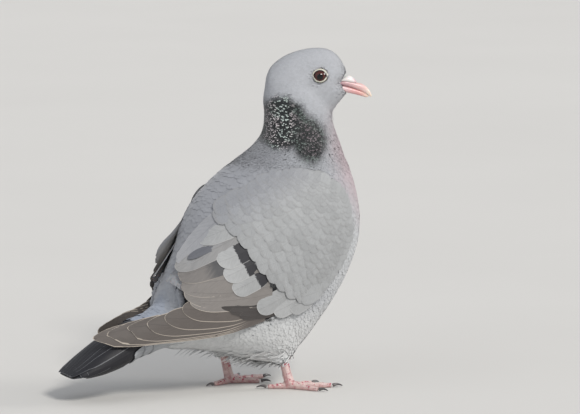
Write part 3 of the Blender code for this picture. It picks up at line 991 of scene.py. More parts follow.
@dataclass(frozen=True)
class Vane:
    """The closed shape of one feather, one unit long and wide, with its thickness in metres.

    Attributes:
        name: Its object's name.
        columns: Faces across.
        rows: Faces along.
        root: Its width at the root, as a part of the full width.
        full: Where along it the full width is reached.
        taper: Where along it the tip begins to close.
        blunt: How square the tip is: 0.5 is an ellipse, 1 a point.
        tip: The width left at the very end.
        camber: How far the middle stands over the edges, in millimetres.
        shaft: How far the shaft stands up, in millimetres.
        offset: How far the shaft lies from the middle, in half widths.
        tilt: How far one edge stands over the other, in millimetres.
    """

    name: str
    columns: int = 4
    rows: int = 5
    root: float = 0.5
    full: float = 0.45
    taper: float = 0.6
    blunt: float = 0.5
    tip: float = 0.25
    camber: float = 0.35
    shaft: float = 0.0
    offset: float = 0.0
    tilt: float = 0.0

    def half_width(self, place: float) -> float:
        """Half the width at a place along the vane.

        Args:
            place: From 0 at the root to 1 at the tip.

        Returns:
            Half the width, as a part of the full one.
        """
        grow = self.root + (1 - self.root) * math.sin(min(place / self.full, 1.0) * math.pi / 2)
        close = 1.0
        if place > self.taper:
            reach = (place - self.taper) / (1 - self.taper)
            close = self.tip + (1 - self.tip) * (1 - reach**2) ** self.blunt
        return 0.5 * grow * close

    def build(self) -> bpy.types.Object:
        """Builds and returns the shape, hidden from the render, with its map and its attributes."""
        step, points, lift, place = self.columns + 1, [], [], []
        for row in range(self.rows + 1):
            v = 1 - (1 - row / self.rows) ** 1.7
            for column in range(step):
                u = 2 * column / self.columns - 1
                rise = self.camber * (1 - u * u) * (1 - 0.5 * v) + self.tilt * u * v
                rise += self.shaft * (abs(u - self.offset) < 0.7 / self.columns) * (1 - u * u)
                points.append((u * self.half_width(v), v, 0.0))
                lift.append(rise * MM)
                place.append(((u + 1) / 2, v))
        faces = [(r * step + c, r * step + c + 1, (r + 1) * step + c + 1, (r + 1) * step + c)
                 for r in range(self.rows) for c in range(self.columns)]
        for r in range(self.rows):  # the underside spans from edge to edge
            a, b = r * step, (r + 1) * step
            near = range(a, a + step) if r == 0 else (a, a + step - 1)
            far = range(b, b + step) if r == self.rows - 1 else (b, b + step - 1)
            faces.append([*list(near)[::-1], *far])
        used = sorted({i for face in faces for i in face})
        index = {old: new for new, old in enumerate(used)}
        mesh = new_mesh(self.name, [points[i] for i in used], [[index[i] for i in face] for face in faces])
        top = self.rows * self.columns
        mesh.polygons.foreach_set("use_smooth", [face < top for face in range(len(faces))])
        under = {key for face in mesh.polygons[top:] for key in face.edge_keys}
        for edge in mesh.edges:  # the top keeps its own normals out to the rim
            edge.use_edge_sharp = edge.key in under
        put(mesh, "along", [place[i][1] for i in used])
        put(mesh, "lift", [lift[i] for i in used])
        chart = mesh.uv_layers.new(name="Vane")
        corners = [place[used[loop.vertex_index]] for loop in mesh.loops]
        chart.data.foreach_set("uv", np.array(corners, np.float32).ravel())
        return helper(placed(self.name, mesh))


SPECK = 0.003  # the size of one small feather or plate on the bake map
LAY_TAKES = {"Finish": ("Material", None), "Rise": ("Float", 0.7), "Patch": ("Float", SPECK)}


def build_lay_group() -> None:
    """Builds the group that sets a vane at each point and lays it along a bed.

    Each point brings its aim, its up direction, its size, the heights of its root and tip over the
    bed, its sideways sweep and its place on the bed's bake map.
    """
    takes = {"Points": ("Geometry", None), "Bed": ("Geometry", None), "Vane": ("Geometry", None), **LAY_TAKES}
    bench, given, out = new_group("lay", "GeometryNodeTree", takes, {"Feathers": "Geometry"})
    up, aim, size, sweep, chart = (
        bench.named(name, "FLOAT_VECTOR") for name in ("up", "aim", "size", "sweep", "chart"))
    turn = bench.add("FunctionNodeAxesToRotation", {0: up, 1: aim}, primary_axis="Z", secondary_axis="Y")
    values = {"Instance": given["Vane"], "Rotation": turn.outputs[0], "Scale": size}
    put_down = bench.add("GeometryNodeInstanceOnPoints", {"Points": given["Points"], **values})
    real = bench.add("GeometryNodeRealizeInstances", {0: put_down.outputs[0]}).outputs[0]
    place = bench.named("along")
    bow = bench.sum("MULTIPLY", bench.sum("MULTIPLY", place, 4.0), bench.rest(place))
    spot = bench.vector("ADD", bench.add("GeometryNodeInputPosition").outputs[0], bench.scaled(sweep, bow))
    found = []
    for value in ("GeometryNodeInputPosition", "GeometryNodeInputNormal"):
        values = {"Mesh": given["Bed"], "Value": bench.add(value).outputs[0], "Sample Position": spot}
        sample = bench.add("GeometryNodeSampleNearestSurface", values, data_type="FLOAT_VECTOR")
        found.append(sample.outputs[0])
    low, high = bench.named("low"), bench.named("high")
    climb = bench.sum("MULTIPLY", bench.sum("SUBTRACT", high, low), bench.sum("POWER", place, given["Rise"]))
    height = bench.sum("ADD", bench.sum("ADD", low, climb), bench.named("lift"))
    spot = bench.vector("ADD", found[0], bench.scaled(bench.vector("NORMALIZE", found[1]), height))
    laid = bench.add("GeometryNodeSetPosition", {"Geometry": real, "Position": spot}).outputs[0]
    inside = bench.vector("SUBTRACT", bench.named("Vane", "FLOAT_VECTOR"), (0.5, 0.5, 0.0))
    baked = bench.vector("ADD", chart, bench.scaled(inside, given["Patch"]))
    laid = bench.keep(laid, "OFBake", baked, "FLOAT2", "CORNER")
    used = "aim up size sweep low high lift along chart lie coat cover"
    for name in used.split():
        laid = bench.add("GeometryNodeRemoveAttribute", {"Geometry": laid, "Name": name}).outputs[0]
    laid = bench.add("GeometryNodeSetMaterial", {"Geometry": laid, "Material": given["Finish"]}).outputs[0]
    bench.tree.links.new(laid, out.inputs[0])


def shape_of(bench: Bench, thing: Socket) -> Socket:
    """The geometry of an object given to a tree."""
    return bench.add("GeometryNodeObjectInfo", {"Object": thing}).outputs["Geometry"]


def build_rows_tree() -> None:
    """Builds the tree that lays vanes at a piece's own points."""
    takes = {"Geometry": ("Geometry", None), "Bed": ("Object", None), "Vane": ("Object", None), **LAY_TAKES}
    bench, given, out = new_group("rows", "GeometryNodeTree", takes, {"Geometry": "Geometry"})
    values = {"Points": given["Geometry"], **{key: given[key] for key in LAY_TAKES}}
    values |= {key: shape_of(bench, given[key]) for key in ("Bed", "Vane")}
    bench.tree.links.new(use_group(bench, "lay", values).outputs[0], out.inputs[0])


def build_scatter_tree() -> None:
    """Builds the tree that covers a skin with small feathers, closest where its "cover" is full."""
    takes = {"Geometry": ("Geometry", None), "Skin": ("Object", None), "Vane": ("Object", None)}
    takes |= {"Finish": ("Material", None), "Spacing": ("Float", 0.002), "Density": ("Float", 1e6)}
    takes |= {"Length": ("Float", 0.007), "Width": ("Float", 0.004), "Ruffle": ("Float", 0.12)}
    takes |= {"Reach": ("Float", 1.0), "Sink": ("Float", 0.0002), "Rise": ("Float", 0.7), "Seed": ("Int", 1)}
    bench, given, out = new_group("scatter", "GeometryNodeTree", takes, {"Geometry": "Geometry"})
    skin, vane = (shape_of(bench, given[key]) for key in ("Skin", "Vane"))
    values = {"Mesh": skin, "Distance Min": given["Spacing"], "Density Max": given["Density"],
              "Density Factor": bench.named("cover"), "Seed": given["Seed"]}
    spread = bench.add("GeometryNodeDistributePointsOnFaces", values, distribute_method="POISSON")
    points = spread.outputs["Points"]

    def chance(shift: float, low: object, high: object, kind: str = "FLOAT") -> Socket:
        """A random value for each point, between two bounds.

        Args:
            shift: What is added to the seed.
            low: The lower bound.
            high: The upper bound.
            kind: The value's data type.

        Returns:
            The value.
        """
        seed = bench.sum("ADD", given["Seed"], shift)
        node = bench.add("FunctionNodeRandomValue", {"Seed": seed}, data_type=kind)
        pair = [socket for socket in node.inputs if socket.enabled and socket.name in ("Min", "Max")]
        for socket, value in zip(pair, (low, high)):
            socket.default_value = value
        return next(socket for socket in node.outputs if socket.enabled)

    jitter = bench.scaled(chance(1.0, (-1.0,) * 3, (1.0,) * 3, "FLOAT_VECTOR"), given["Ruffle"])
    grow = chance(2.0, 0.9, 1.1)
    wide, long = (
        bench.sum("MULTIPLY", bench.sum("MULTIPLY", given[key], grow), bench.named("grow"))
        for key in ("Width", "Length"))
    depth = bench.sum("MULTIPLY", bench.named("coat"), given["Reach"])
    vectors = {
        "up": spread.outputs["Normal"],
        "aim": bench.vector("ADD", bench.named("lie", "FLOAT_VECTOR"), jitter),
        "size": bench.add("ShaderNodeCombineXYZ", {0: wide, 1: long, 2: 1.0}).outputs[0],
        "root": bench.add("GeometryNodeInputPosition").outputs[0],
    }
    numbers = {
        "low": bench.sum("MULTIPLY", given["Sink"], -1.0),
        "high": bench.sum("MULTIPLY", depth, chance(3.0, 0.975, 1.0)),
        "tone": chance(4.0, 0.0, 1.0),
    }
    for kind, kept in (("FLOAT_VECTOR", vectors), ("FLOAT", numbers)):
        for name, value in kept.items():
            points = bench.keep(points, name, value, kind)
    values = {"Points": points, "Bed": skin, "Vane": vane, "Finish": given["Finish"], "Rise": given["Rise"]}
    laid = use_group(bench, "lay", {**values, "Patch": SPECK}).outputs[0]
    laid = bench.add("GeometryNodeRemoveAttribute", {"Geometry": laid, "Name": "grow"}).outputs[0]
    bench.tree.links.new(laid, out.inputs[0])


def grown(
    name: str, tree: str, values: dict[str, object], points: Mesh | None = None
) -> bpy.types.Object:
    """Runs one of the geometry trees and returns its plain mesh.

    Args:
        name: The new piece's name.
        tree: The tree's name.
        values: The tree's inputs by name.
        points: A mesh whose vertices are the tree's own points.

    Returns:
        The piece, without the modifier.
    """
    made = placed(name, points or bpy.data.meshes.new(name))
    modifier = made.modifiers.new("grow", "NODES")
    group = bpy.data.node_groups[tree]
    sockets = {item.name: item.identifier for item in group.interface.items_tree if item.in_out == "INPUT"}
    modifier.node_group = group
    for key, value in values.items():
        modifier[sockets[key]] = value
    applied(made)
    made.data.name = name
    LOG.info("%s: %d triangles", name, sum(len(face.vertices) - 2 for face in made.data.polygons))
    return made


NO_INK = (2.0, 3.0, 2.0)  # a dark mark past the feather's end
CORNERS = (0.02, 0.52)  # where the sets' squares start on the bake map, across and up


@dataclass
class Quill:
    """One large feather of a wing or tail.

    Attributes:
        root: Where it starts, on its bed's own two coordinates.
        tip: Where it ends.
        wide: Its width.
        low: Its root's height over the bed.
        high: Its tip's height.
        tint: Its colour.
        rim: The colour of its edge.
        trim: How strongly the edge shows.
        ink: Where along it a dark mark starts and ends, and how far across it reaches.
        bow: How far it bends downwards at its middle.
    """

    root: Pair
    tip: Pair
    wide: float
    low: float
    high: float
    tint: Colour
    rim: Colour = (0.60, 0.56, 0.52)
    trim: float = 0.5
    ink: Triple = NO_INK
    bow: float = 0.0


SHARE, CELLS = 0.46, 0.42  # one set's square of the bake map, and how much of it the vanes may fill


def cells_across(count: int) -> int:
    """How many cells across a set's square of the bake map is."""
    return math.ceil(math.sqrt(count))


def quill_points(
    quills: Sequence[Quill], lift: Callable[[Rows], Rows], face: Callable[[Rows], Rows],
    chart: Pair, seed: int
) -> Mesh:
    """The points that the rows tree reads for a set of quills.

    Args:
        quills: The feathers.
        lift: Takes the bed's own coordinates to points of the pose.
        face: Takes the same coordinates to the bed's outward directions.
        chart: The corner of the set's cells on the bake map.
        seed: Fixes the feathers' tones.

    Returns:
        A mesh of loose vertices with the attributes.
    """
    count = len(quills)
    roots, tips = lift(np.array([q.root for q in quills])), lift(np.array([q.tip for q in quills]))
    ups = unit(face(np.array([np.add(q.root, q.tip) / 2 for q in quills])))
    aims = tips - roots
    down = np.cross(aims, ups)
    down *= np.sign(-down[:, 2:])
    wide, low, high, bow = np.array([(q.wide, q.low, q.high, q.bow) for q in quills]).T * MM
    cells = np.arange(count)
    grid = cells_across(count)
    across, up = ((cell + 0.5) * SHARE / grid for cell in (cells % grid, cells // grid))
    mesh = new_mesh("quill points", framed(roots))
    put(mesh, "aim", unit(aims))
    put(mesh, "up", ups)
    put(mesh, "size", np.stack((wide, np.linalg.norm(aims, axis=1) * MM, np.ones(count)), 1))
    put(mesh, "sweep", unit(down) * bow[:, None])
    put(mesh, "low", low)
    put(mesh, "high", high)
    put(mesh, "tone", np.random.default_rng(seed).random(count))
    put(mesh, "root", framed(roots))
    put(mesh, "chart", np.stack((chart[0] + across, chart[1] + up, np.zeros(count)), 1))
    put(mesh, "tint", [solid(q.tint) for q in quills])
    put(mesh, "rim", [solid(q.rim) for q in quills])
    put(mesh, "trim", [q.trim for q in quills])
    put(mesh, "ink", [q.ink for q in quills])
    return mesh


def lay_quills(
    name: str, points: Mesh, bed: bpy.types.Object, vane: Vane, finish: Material, rise: float
) -> bpy.types.Object:
    """Lays one vane at each point of a set.

    Args:
        name: The new piece's name.
        points: The set's points.
        bed: What the feathers lie on.
        vane: Their shape.
        finish: Their material.
        rise: How late along it a feather climbs to its tip's height.

    Returns:
        The piece.
    """
    patch = CELLS / cells_across(len(points.vertices))
    values = {"Bed": bed, "Vane": vane.build(), "Finish": finish, "Rise": rise, "Patch": patch}
    return grown(name, "rows", values, points)


def hand_over(made: bpy.types.Object, slot: str, *nodes: str) -> None:
    """Gives a finished piece to the frame's one body.

    Args:
        made: The piece.
        slot: The record's material slot meant for its finish; not used.
        nodes: The CAD nodes that it stands for, if any.
    """
    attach(made, "root")
    if nodes:
        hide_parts(*nodes)


# ---------------------------------------------------------------- skin


GUIDES: tuple[tuple[Pair, Pair], ...] = (  # ahead and up: a place, and the way its feathers lie there
    ((58, 222), (-0.75, 0.55)), ((44, 230), (-1, 0.05)), ((24, 228), (-0.9, -0.5)), ((8, 208), (-0.3, -1)),
    ((50, 210), (-1, -0.05)), ((36, 200), (-0.9, -0.5)), ((56, 198), (-0.8, -0.6)), ((60, 190), (-0.5, -0.9)),
    ((54, 176), (-0.1, -1)), ((30, 178), (-0.45, -1)), ((8, 180), (-0.15, -1)), ((65, 150), (0, -1)),
    ((40, 158), (-0.5, -1)), ((4, 162), (-0.7, -0.8)), ((70, 112), (-0.15, -1)), ((62, 76), (-0.6, -0.8)),
    ((40, 46), (-1, -0.45)), ((40, 90), (-0.5, -0.9)), ((14, 40), (-1, -0.35)), ((10, 20), (-1, -0.05)),
    ((-40, 28), (-1, 0)), ((-30, 42), (-1, -0.2)), ((-80, 30), (-1, -0.05)), ((-22, 150), (-0.8, -0.6)),
    ((-48, 126), (-0.75, -0.7)), ((-66, 90), (-0.7, -0.7)), ((-90, 56), (-0.92, -0.4)),
    ((0, 100), (-0.9, -0.45)),
)
SPINE: tuple[Triple, ...] = (  # the line that the bake map unrolls the bird round, from tail to bill
    (-112, 0, 34), (-62, 0, 70), (6, 0, 88), (34, 0, 150), (30, 0, 190), (44, -6, 208), (66, -17, 204))
BILL_LINE: tuple[Pair, ...] = (  # height, and how far ahead the face's feathers end there
    (196, 42), (199.4, 39), (201.7, 34.4), (203.6, 33.0), (205.0, 29.5), (206.2, 25.4), (207.4, 29.0),
    (210.0, 33.4), (211.5, 36), (213, 40))
MARGIN = 0.02  # left free round the skin's part of the bake map
EYE_AHEAD, EYE_ASIDE, EYE_UP, EYE_RADIUS = 15.3, 11.6, 211.8, 5.4
LID_ASIDE = 15.5  # how far from the head's middle plane the eye's opening lies


def eye_centre(side: Side) -> Rows:
    """The middle of an eyeball, in the pose."""
    return head_point(EYE_AHEAD, side.value * EYE_ASIDE, EYE_UP)


def eye_front(side: Side, aside: float) -> Rows:
    """A point straight out from an eye, at a distance from the head's middle plane."""
    return head_point(EYE_AHEAD, side.value * aside, EYE_UP)


def lie_at(points: Rows, normals: Rows) -> Rows:
    """The way the feathers lie at points of the pose, along the surface.

    Args:
        points: The points.
        normals: The surface's directions there.

    Returns:
        One direction for each point.
    """
    places, ways = (np.insert(np.array([guide[i] for guide in GUIDES], float), 1, 0, axis=1) for i in (0, 1))
    gap = np.linalg.norm((points[:, None, :] - places[None]) * (1, 0.25, 1), axis=2)
    weight = 1.0 / (gap**2 + 60.0) ** 2
    lie = weight @ unit(ways) / weight.sum(1, keepdims=True)
    lie -= normals * (lie * normals).sum(1, keepdims=True)
    return unit(lie)


def coat_at(points: Rows) -> Rows:
    """How deep the coat is at points of the pose: thin at the bill, the eyes, the feet and the tail.

    Args:
        points: The points.

    Returns:
        One depth for each point, in millimetres.
    """
    thin, full = 0.45, 3.0
    bill = np.linalg.norm(points - head_point(34, 0, 205), axis=1)
    depth = np.clip(thin + 0.034 * (bill - 4), thin, full)
    for side in Side:
        eye = np.linalg.norm(points - eye_front(side, LID_ASIDE), axis=1)
        depth = np.minimum(depth, 0.35 + 0.16 * np.clip(eye - 4.6, 0, None))
    for foot in ((9, -17, 19), (-20, 17, 21)):
        away = np.linalg.norm(points - foot, axis=1) - 6
        depth = np.minimum(depth, np.clip(0.5 + 0.17 * away, 0.5, full))
    return np.where(points[:, 0] < -100, np.minimum(depth, 1.0), depth)


def bared(points: Rows) -> Rows:
    """How far points of the pose lie in front of the line where the face's feathers end.

    Args:
        points: The points.

    Returns:
        For each, 0 behind the line to 1 well in front of it.
    """
    heights, limits = np.array(BILL_LINE).T
    ahead = (points - (NECK_AXIS, 0, 0)) @ HEAD_AHEAD
    past = ease(ahead - np.interp(points[:, 2], heights, limits), -0.4, 0.8)
    return past * (ahead > 20) * (points[:, 2] > 192)


def chart_at(points: Rows) -> Rows:
    """Where points of the pose fall on an unwrap round the bird's spine.

    Args:
        points: The points.

    Returns:
        One place on the bake map for each, with a third coordinate of 0.
    """
    knots = np.array(SPINE, float)
    best = np.full(len(points), 1e9)
    chart = np.zeros((len(points), 3))
    for index, (a, b) in enumerate(zip(knots[:-1], knots[1:])):
        t = np.clip((points - a) @ (b - a) / ((b - a) @ (b - a)), 0, 1)
        off = points - (a + t[:, None] * (b - a))
        gap = np.linalg.norm(off, axis=1)
        up = np.cross(b - a, (0, 1, 0))
        angle = np.arctan2(off[:, 1], off @ (up / np.linalg.norm(up)))
        near = gap < best
        best[near] = gap[near]
        chart[near, 0] = MARGIN + (1 - 2 * MARGIN) * (angle[near] / (2 * math.pi) + 0.5)
        chart[near, 1] = MARGIN + (1 - 2 * MARGIN) * (index + t[near]) / (len(knots) - 1)
    return chart


@dataclass
class Skin:
    """The one skin of the flesh: body, neck, head, thighs, legs and toes, with lids round the eyes.

    Attributes:
        body: The nodes that feathers cover.
        bare: The bare nodes of the legs.
        voxel: The size of the body's cells, in millimetres.
        fine: The size of the legs' cells.
        swell: How far the solids grow to close the gaps between them.
        lid_wide: Half the eye opening's width.
        lid_high: Half its height.
        lid_profile: The rim's section from the eyeball outwards: parts of the opening, and heights.
        object: The skin, once it is built.
        legs: The legs' part of it, for the plates to lie on.
        feathered: Which of its vertices belong to the body.
    """

    body: tuple[str, ...] = (
        "head", "neck", "breast", "belly", "rump", "coverts_right", "coverts_left", "thigh_right",
        "thigh_left")
    bare: tuple[str, ...] = tuple(
        f"{part}_{side}" for side in ("right", "left")
        for part in ("tarsus", "inner_toe", "middle_toe", "outer_toe", "hind_toe"))
    voxel: float = 1.3
    fine: float = 0.55
    swell: float = 2.0
    lid_wide: float = 4.45
    lid_high: float = 3.95
    lid_profile: tuple[Pair, ...] = (
        (0.92, -0.25), (0.98, 0.10), (1.03, 0.22), (1.08, 0.18), (1.13, -0.06), (1.19, -0.8), (1.28, -2.4))
    object: bpy.types.Object | None = None
    legs: bpy.types.Object | None = None
    feathered: Rows | None = None

    def lids(self, side: Side, count: int = 56) -> tuple[Rows, list[list[int]]]:
        """The pale rim of one eye, from under the feathers to the eyeball.

        Args:
            side: Which eye.
            count: How many points each ring of the rim has.

        Returns:
            The points of the frame and the faces.
        """
        centre = eye_centre(side)
        out = unit(eye_front(side, 20) - centre)
        ring = np.linspace(0, 2 * math.pi, count, endpoint=False)
        edge = 4.9  # beyond this radius the rim bends away from the eyeball
        points = []
        for part, rise in self.lid_profile:
            x = self.lid_wide * part * np.cos(ring) * (1 + 0.07 * np.abs(np.cos(ring)) ** 8)
            z = self.lid_high * part * np.sin(ring) + 0.8 - 2.2 * max(part - 1.0, 0.0)
            reach = np.hypot(x, z)
            ball = np.sqrt(EYE_RADIUS**2 - np.minimum(reach, edge) ** 2)
            rise = rise + ball - 0.35 * np.clip(reach - edge, 0, None)
            upright = z[:, None] * np.array((0, 0, 1))
            points.append(centre + x[:, None] * HEAD_AHEAD + upright + rise[:, None] * out)
        faces = loft(len(points), count)
        return framed(np.vstack(points)), faces if side is Side.LEFT else [face[::-1] for face in faces]

    def build(self) -> None:
        """Builds the skin and writes what the coat reads from it."""
        body = fused(solids(self.body, self.swell, 1.6), self.voxel, 8, 0.9)
        places = posed(points_of(body.data))  # the rump's end slips in under the tail's coverts
        places += 0.3 * ease(places[:, :1], -66, -76) * (np.array((0.0, 0.0, 44.0)) - places) * (0, 1, 1)
        move(body.data, framed(places))
        sink(body, lambda points: coat_at(points) + self.swell + 4.0 * bared(points))
        self.legs = helper(fused(solids(self.bare, 0.3), self.fine, 3, 0.3))
        sink(self.legs, lambda points: np.full(len(points), 0.3))
        shells = [(points_of(made.data), [face.vertices for face in made.data.polygons])
                  for made in (body, self.legs)]
        shells += [self.lids(side) for side in Side]
        points, faces, looks, start = [], [], [], 0
        for index, (more, shell) in enumerate(shells):
            faces += [[i + start for i in face] for face in shell]
            looks += [min(index, 2)] * len(shell)
            points.append(more)
            start += len(more)
        mesh = new_mesh("skin", np.vstack(points), faces)
        self.object = placed("skin", mesh)
        leg_skin = FleshFinish("leg skin", (0.58, 0.40, 0.385), (0.46, 0.22, 0.23), 450.0)
        eye_rim = FleshFinish("eye rim", (0.66, 0.64, 0.55), (0.52, 0.50, 0.46), 900.0, 0.2, 0.45, 0.0001)
        for finish in (SkinFinish(), leg_skin, eye_rim):
            mesh.materials.append(finish.build())
        mesh.polygons.foreach_set("material_index", looks)
        bpy.data.objects.remove(body)
        places, normals = posed(points_of(mesh)), normals_of(mesh)
        self.feathered = np.arange(len(places)) < len(shells[0][0])
        put(mesh, "lie", relaxed(mesh, lie_at(places, normals), 4))
        put(mesh, "coat", relaxed(mesh, coat_at(places), 6)[:, 0] * MM)
        put(mesh, "chart", chart_at(places))
        hand_over(self.object, "plumage", *self.body, *self.bare)
        LOG.info("skin: %d faces", len(mesh.polygons))


# ---------------------------------------------------------------- coat


def inside(outline: Sequence[Pair], points: Rows) -> Rows:
    """Which points, given by X and Z, lie inside an outline.

    Args:
        outline: The outline's corners.
        points: The points.

    Returns:
        True or False for each point.
    """
    within = np.zeros(len(points), bool)
    for (xa, za), (xb, zb) in zip(outline, [*outline[1:], outline[0]]):
        crosses = (za > points[:, 1]) != (zb > points[:, 1])
        edge = xa + (points[:, 1] - za) * (xb - xa) / ((zb - za) or 1e-9)
        within ^= crosses & (points[:, 0] < edge)
    return within


UNDER_WING: tuple[Pair, ...] = (
    (-100, 48), (-60, 56), (-30, 62), (-4, 68), (16, 80), (30, 94), (38, 110), (36, 120), (24, 129),
    (2, 131), (-26, 114), (-50, 92), (-84, 66))


@dataclass
class Coat:
    """One region of small feathers, laid over the skin.

    Attributes:
        name: The piece's name.
        where: Gives the share of feathers at each point of the pose.
        vane: The feather's shape.
        spacing: The least distance between two roots, in millimetres.
        length: A feather's length.
        width: A feather's width.
        ruffle: How far the feathers stray from the lie.
        reach: The tips' height as a part of the coat's depth.
        rise: How late along it a feather climbs to that height.
        seed: Fixes the random draws.
    """

    name: str
    where: Callable[[Rows], Rows]
    vane: Vane
    spacing: float
    length: float
    width: float
    ruffle: float = 0.12
    reach: float = 1.0
    rise: float = 0.25
    seed: int = 1

    def build(self, skin: Skin, finish: Material) -> None:
        """Lays the feathers and hands the piece to the frame.

        Args:
            skin: What they grow on.
            finish: Their material.
        """
        mesh = skin.object.data
        places = posed(points_of(mesh))
        cover = np.clip(self.where(places), 0, 1) * skin.feathered
        for side in Side:  # an oval round each eye stays bare
            offset = places - head_point(EYE_AHEAD + 0.9, side.value * LID_ASIDE, EYE_UP)
            ahead, aside, up = offset @ HEAD_AHEAD, offset @ HEAD_ASIDE, offset[:, 2] - 0.4
            cover *= ease(np.sqrt((ahead / 1.24) ** 2 + (up / 0.94) ** 2 + (0.4 * aside) ** 2), 4.35, 4.65)
        cover *= bared(places) < 0.4
        put(mesh, "cover", cover)
        put(mesh, "grow", 0.55 + 0.45 * ease(coat_at(places), 0.45, 1.0))
        values = {
            "Skin": skin.object, "Vane": self.vane.build(), "Finish": finish, "Spacing": self.spacing * MM,
            "Density": 5.0 / (self.spacing * MM) ** 2, "Length": self.length * MM, "Width": self.width * MM,
            "Ruffle": self.ruffle, "Reach": self.reach, "Rise": self.rise, "Seed": self.seed}
        hand_over(grown(self.name, "scatter", values), "plumage")


DOWN = Vane("down vane", columns=2, rows=3, root=0.6, camber=0.07)
CONTOUR = Vane("contour vane", rows=4, camber=0.10)
BODY = Vane("body vane", columns=2, rows=4, root=0.6, camber=0.06)
WISP = Vane("wisp vane", columns=2, root=0.9, full=0.3, taper=0.35, blunt=1.0, tip=0.06, camber=0.3)
COVERT = Vane("covert vane", rows=6, root=0.6, full=0.5, taper=0.55, tip=0.3, camber=0.10)
FLIGHT = Vane(
    "flight vane", columns=8, rows=16, root=0.55, full=0.35, taper=0.72, blunt=0.55, tip=0.12, camber=0.22,
    shaft=0.12)
SCUTE = Vane("scute", rows=3, root=0.9, full=0.4, taper=0.5, blunt=0.35, tip=0.6, camber=0.25)


def build_coats(skin: Skin) -> None:
    """Builds every region of the small feathers over the skin.

    Args:
        skin: The finished skin.
    """
    soft = CoatFinish("soft plumage").build()
    neck_finish = CoatFinish("neck plumage", relief=0.00008, fleck=0.18).build()
    # The wisps' tips are painted far paler: painted light on strands that hang in the belly's shade.
    wisp_lit_finish = CoatFinish("belly wisps", fringe=0.5, relief=0.00002).build()

    def head(p: Rows) -> Rows:
        """The head, down to the throat."""
        return ease(p[:, 2], 182, 190)

    def neck(p: Rows) -> Rows:
        """The neck, between the head and the shoulders."""
        return (1 - ease(p[:, 2], 186, 192)) * ease(p[:, 2], 146, 156)

    def wing(p: Rows) -> Rows:
        """What the large feathers hide."""
        return inside(UNDER_WING, p[:, (0, 2)]) * ease(np.abs(p[:, 1]), 18, 24)

    def back(p: Rows) -> Rows:
        """The mantle, the back and the rump."""
        upper = ease(slope(p), 94, 104) * (1 - ease(p[:, 0], 32, 42))
        return upper * below_neck(p) * (1 - wing(p))

    def under(p: Rows) -> Rows:
        """The breast, the flanks, the belly and the thighs."""
        return np.maximum(1 - ease(slope(p), 102, 112), ease(p[:, 0], 26, 36)) * below_neck(p) * (1 - wing(p))

    def slope(p: Rows) -> Rows:
        """The height over a line that runs up the body as its back does."""
        return p[:, 2] - 0.62 * p[:, 0]

    def below_neck(p: Rows) -> Rows:
        """All that lies under the neck."""
        return 1 - ease(p[:, 2], 154, 162)

    def breast(p: Rows) -> Rows:
        """The front of what back() leaves."""
        return under(p) * ease(p[:, 0], 26, 38)

    def belly(p: Rows) -> Rows:
        """The rest of it, as far back as the tail's root."""
        return under(p) * (1 - ease(p[:, 0], 30, 42)) * ease(p[:, 0], -79, -73)

    def fringe(p: Rows) -> Rows:
        """The loose edge of the belly and the vent."""
        return (1 - ease(p[:, 2], 22, 34)) * (1 - ease(p[:, 0], 26, 46)) * 0.6

    def throat(p: Rows) -> Rows:
        """The loose feathers under the chin."""
        return 1 - ease(np.linalg.norm(p - head_point(24, 0, 191), axis=1), 4.0, 6.0)

    Coat("head_coat", head, DOWN, 0.95, 4.2, 2.1, 0.05, seed=3).build(skin, soft)
    Coat("neck_coat", neck, DOWN, 0.92, 4.2, 1.35, 0.10, seed=4).build(skin, neck_finish)
    Coat("back_coat", back, CONTOUR, 3.4, 17.0, 9.0, 0.05, seed=5).build(skin, soft)
    Coat("breast_coat", breast, BODY, 1.7, 9.5, 3.6, 0.05, seed=9).build(skin, soft)
    Coat("belly_coat", belly, BODY, 1.9, 11.0, 4.2, 0.06, seed=6).build(skin, soft)
    Coat("throat_tuft", throat, WISP, 1.3, 7.0, 1.7, 0.1, 1.9, rise=1.2, seed=8).build(skin, soft)
    Coat("belly_fringe", fringe, WISP, 2.4, 13.0, 1.8, 0.25, 2.9, rise=1.2, seed=7).build(skin, wisp_lit_finish)


# ---------------------------------------------------------------- wings and tail


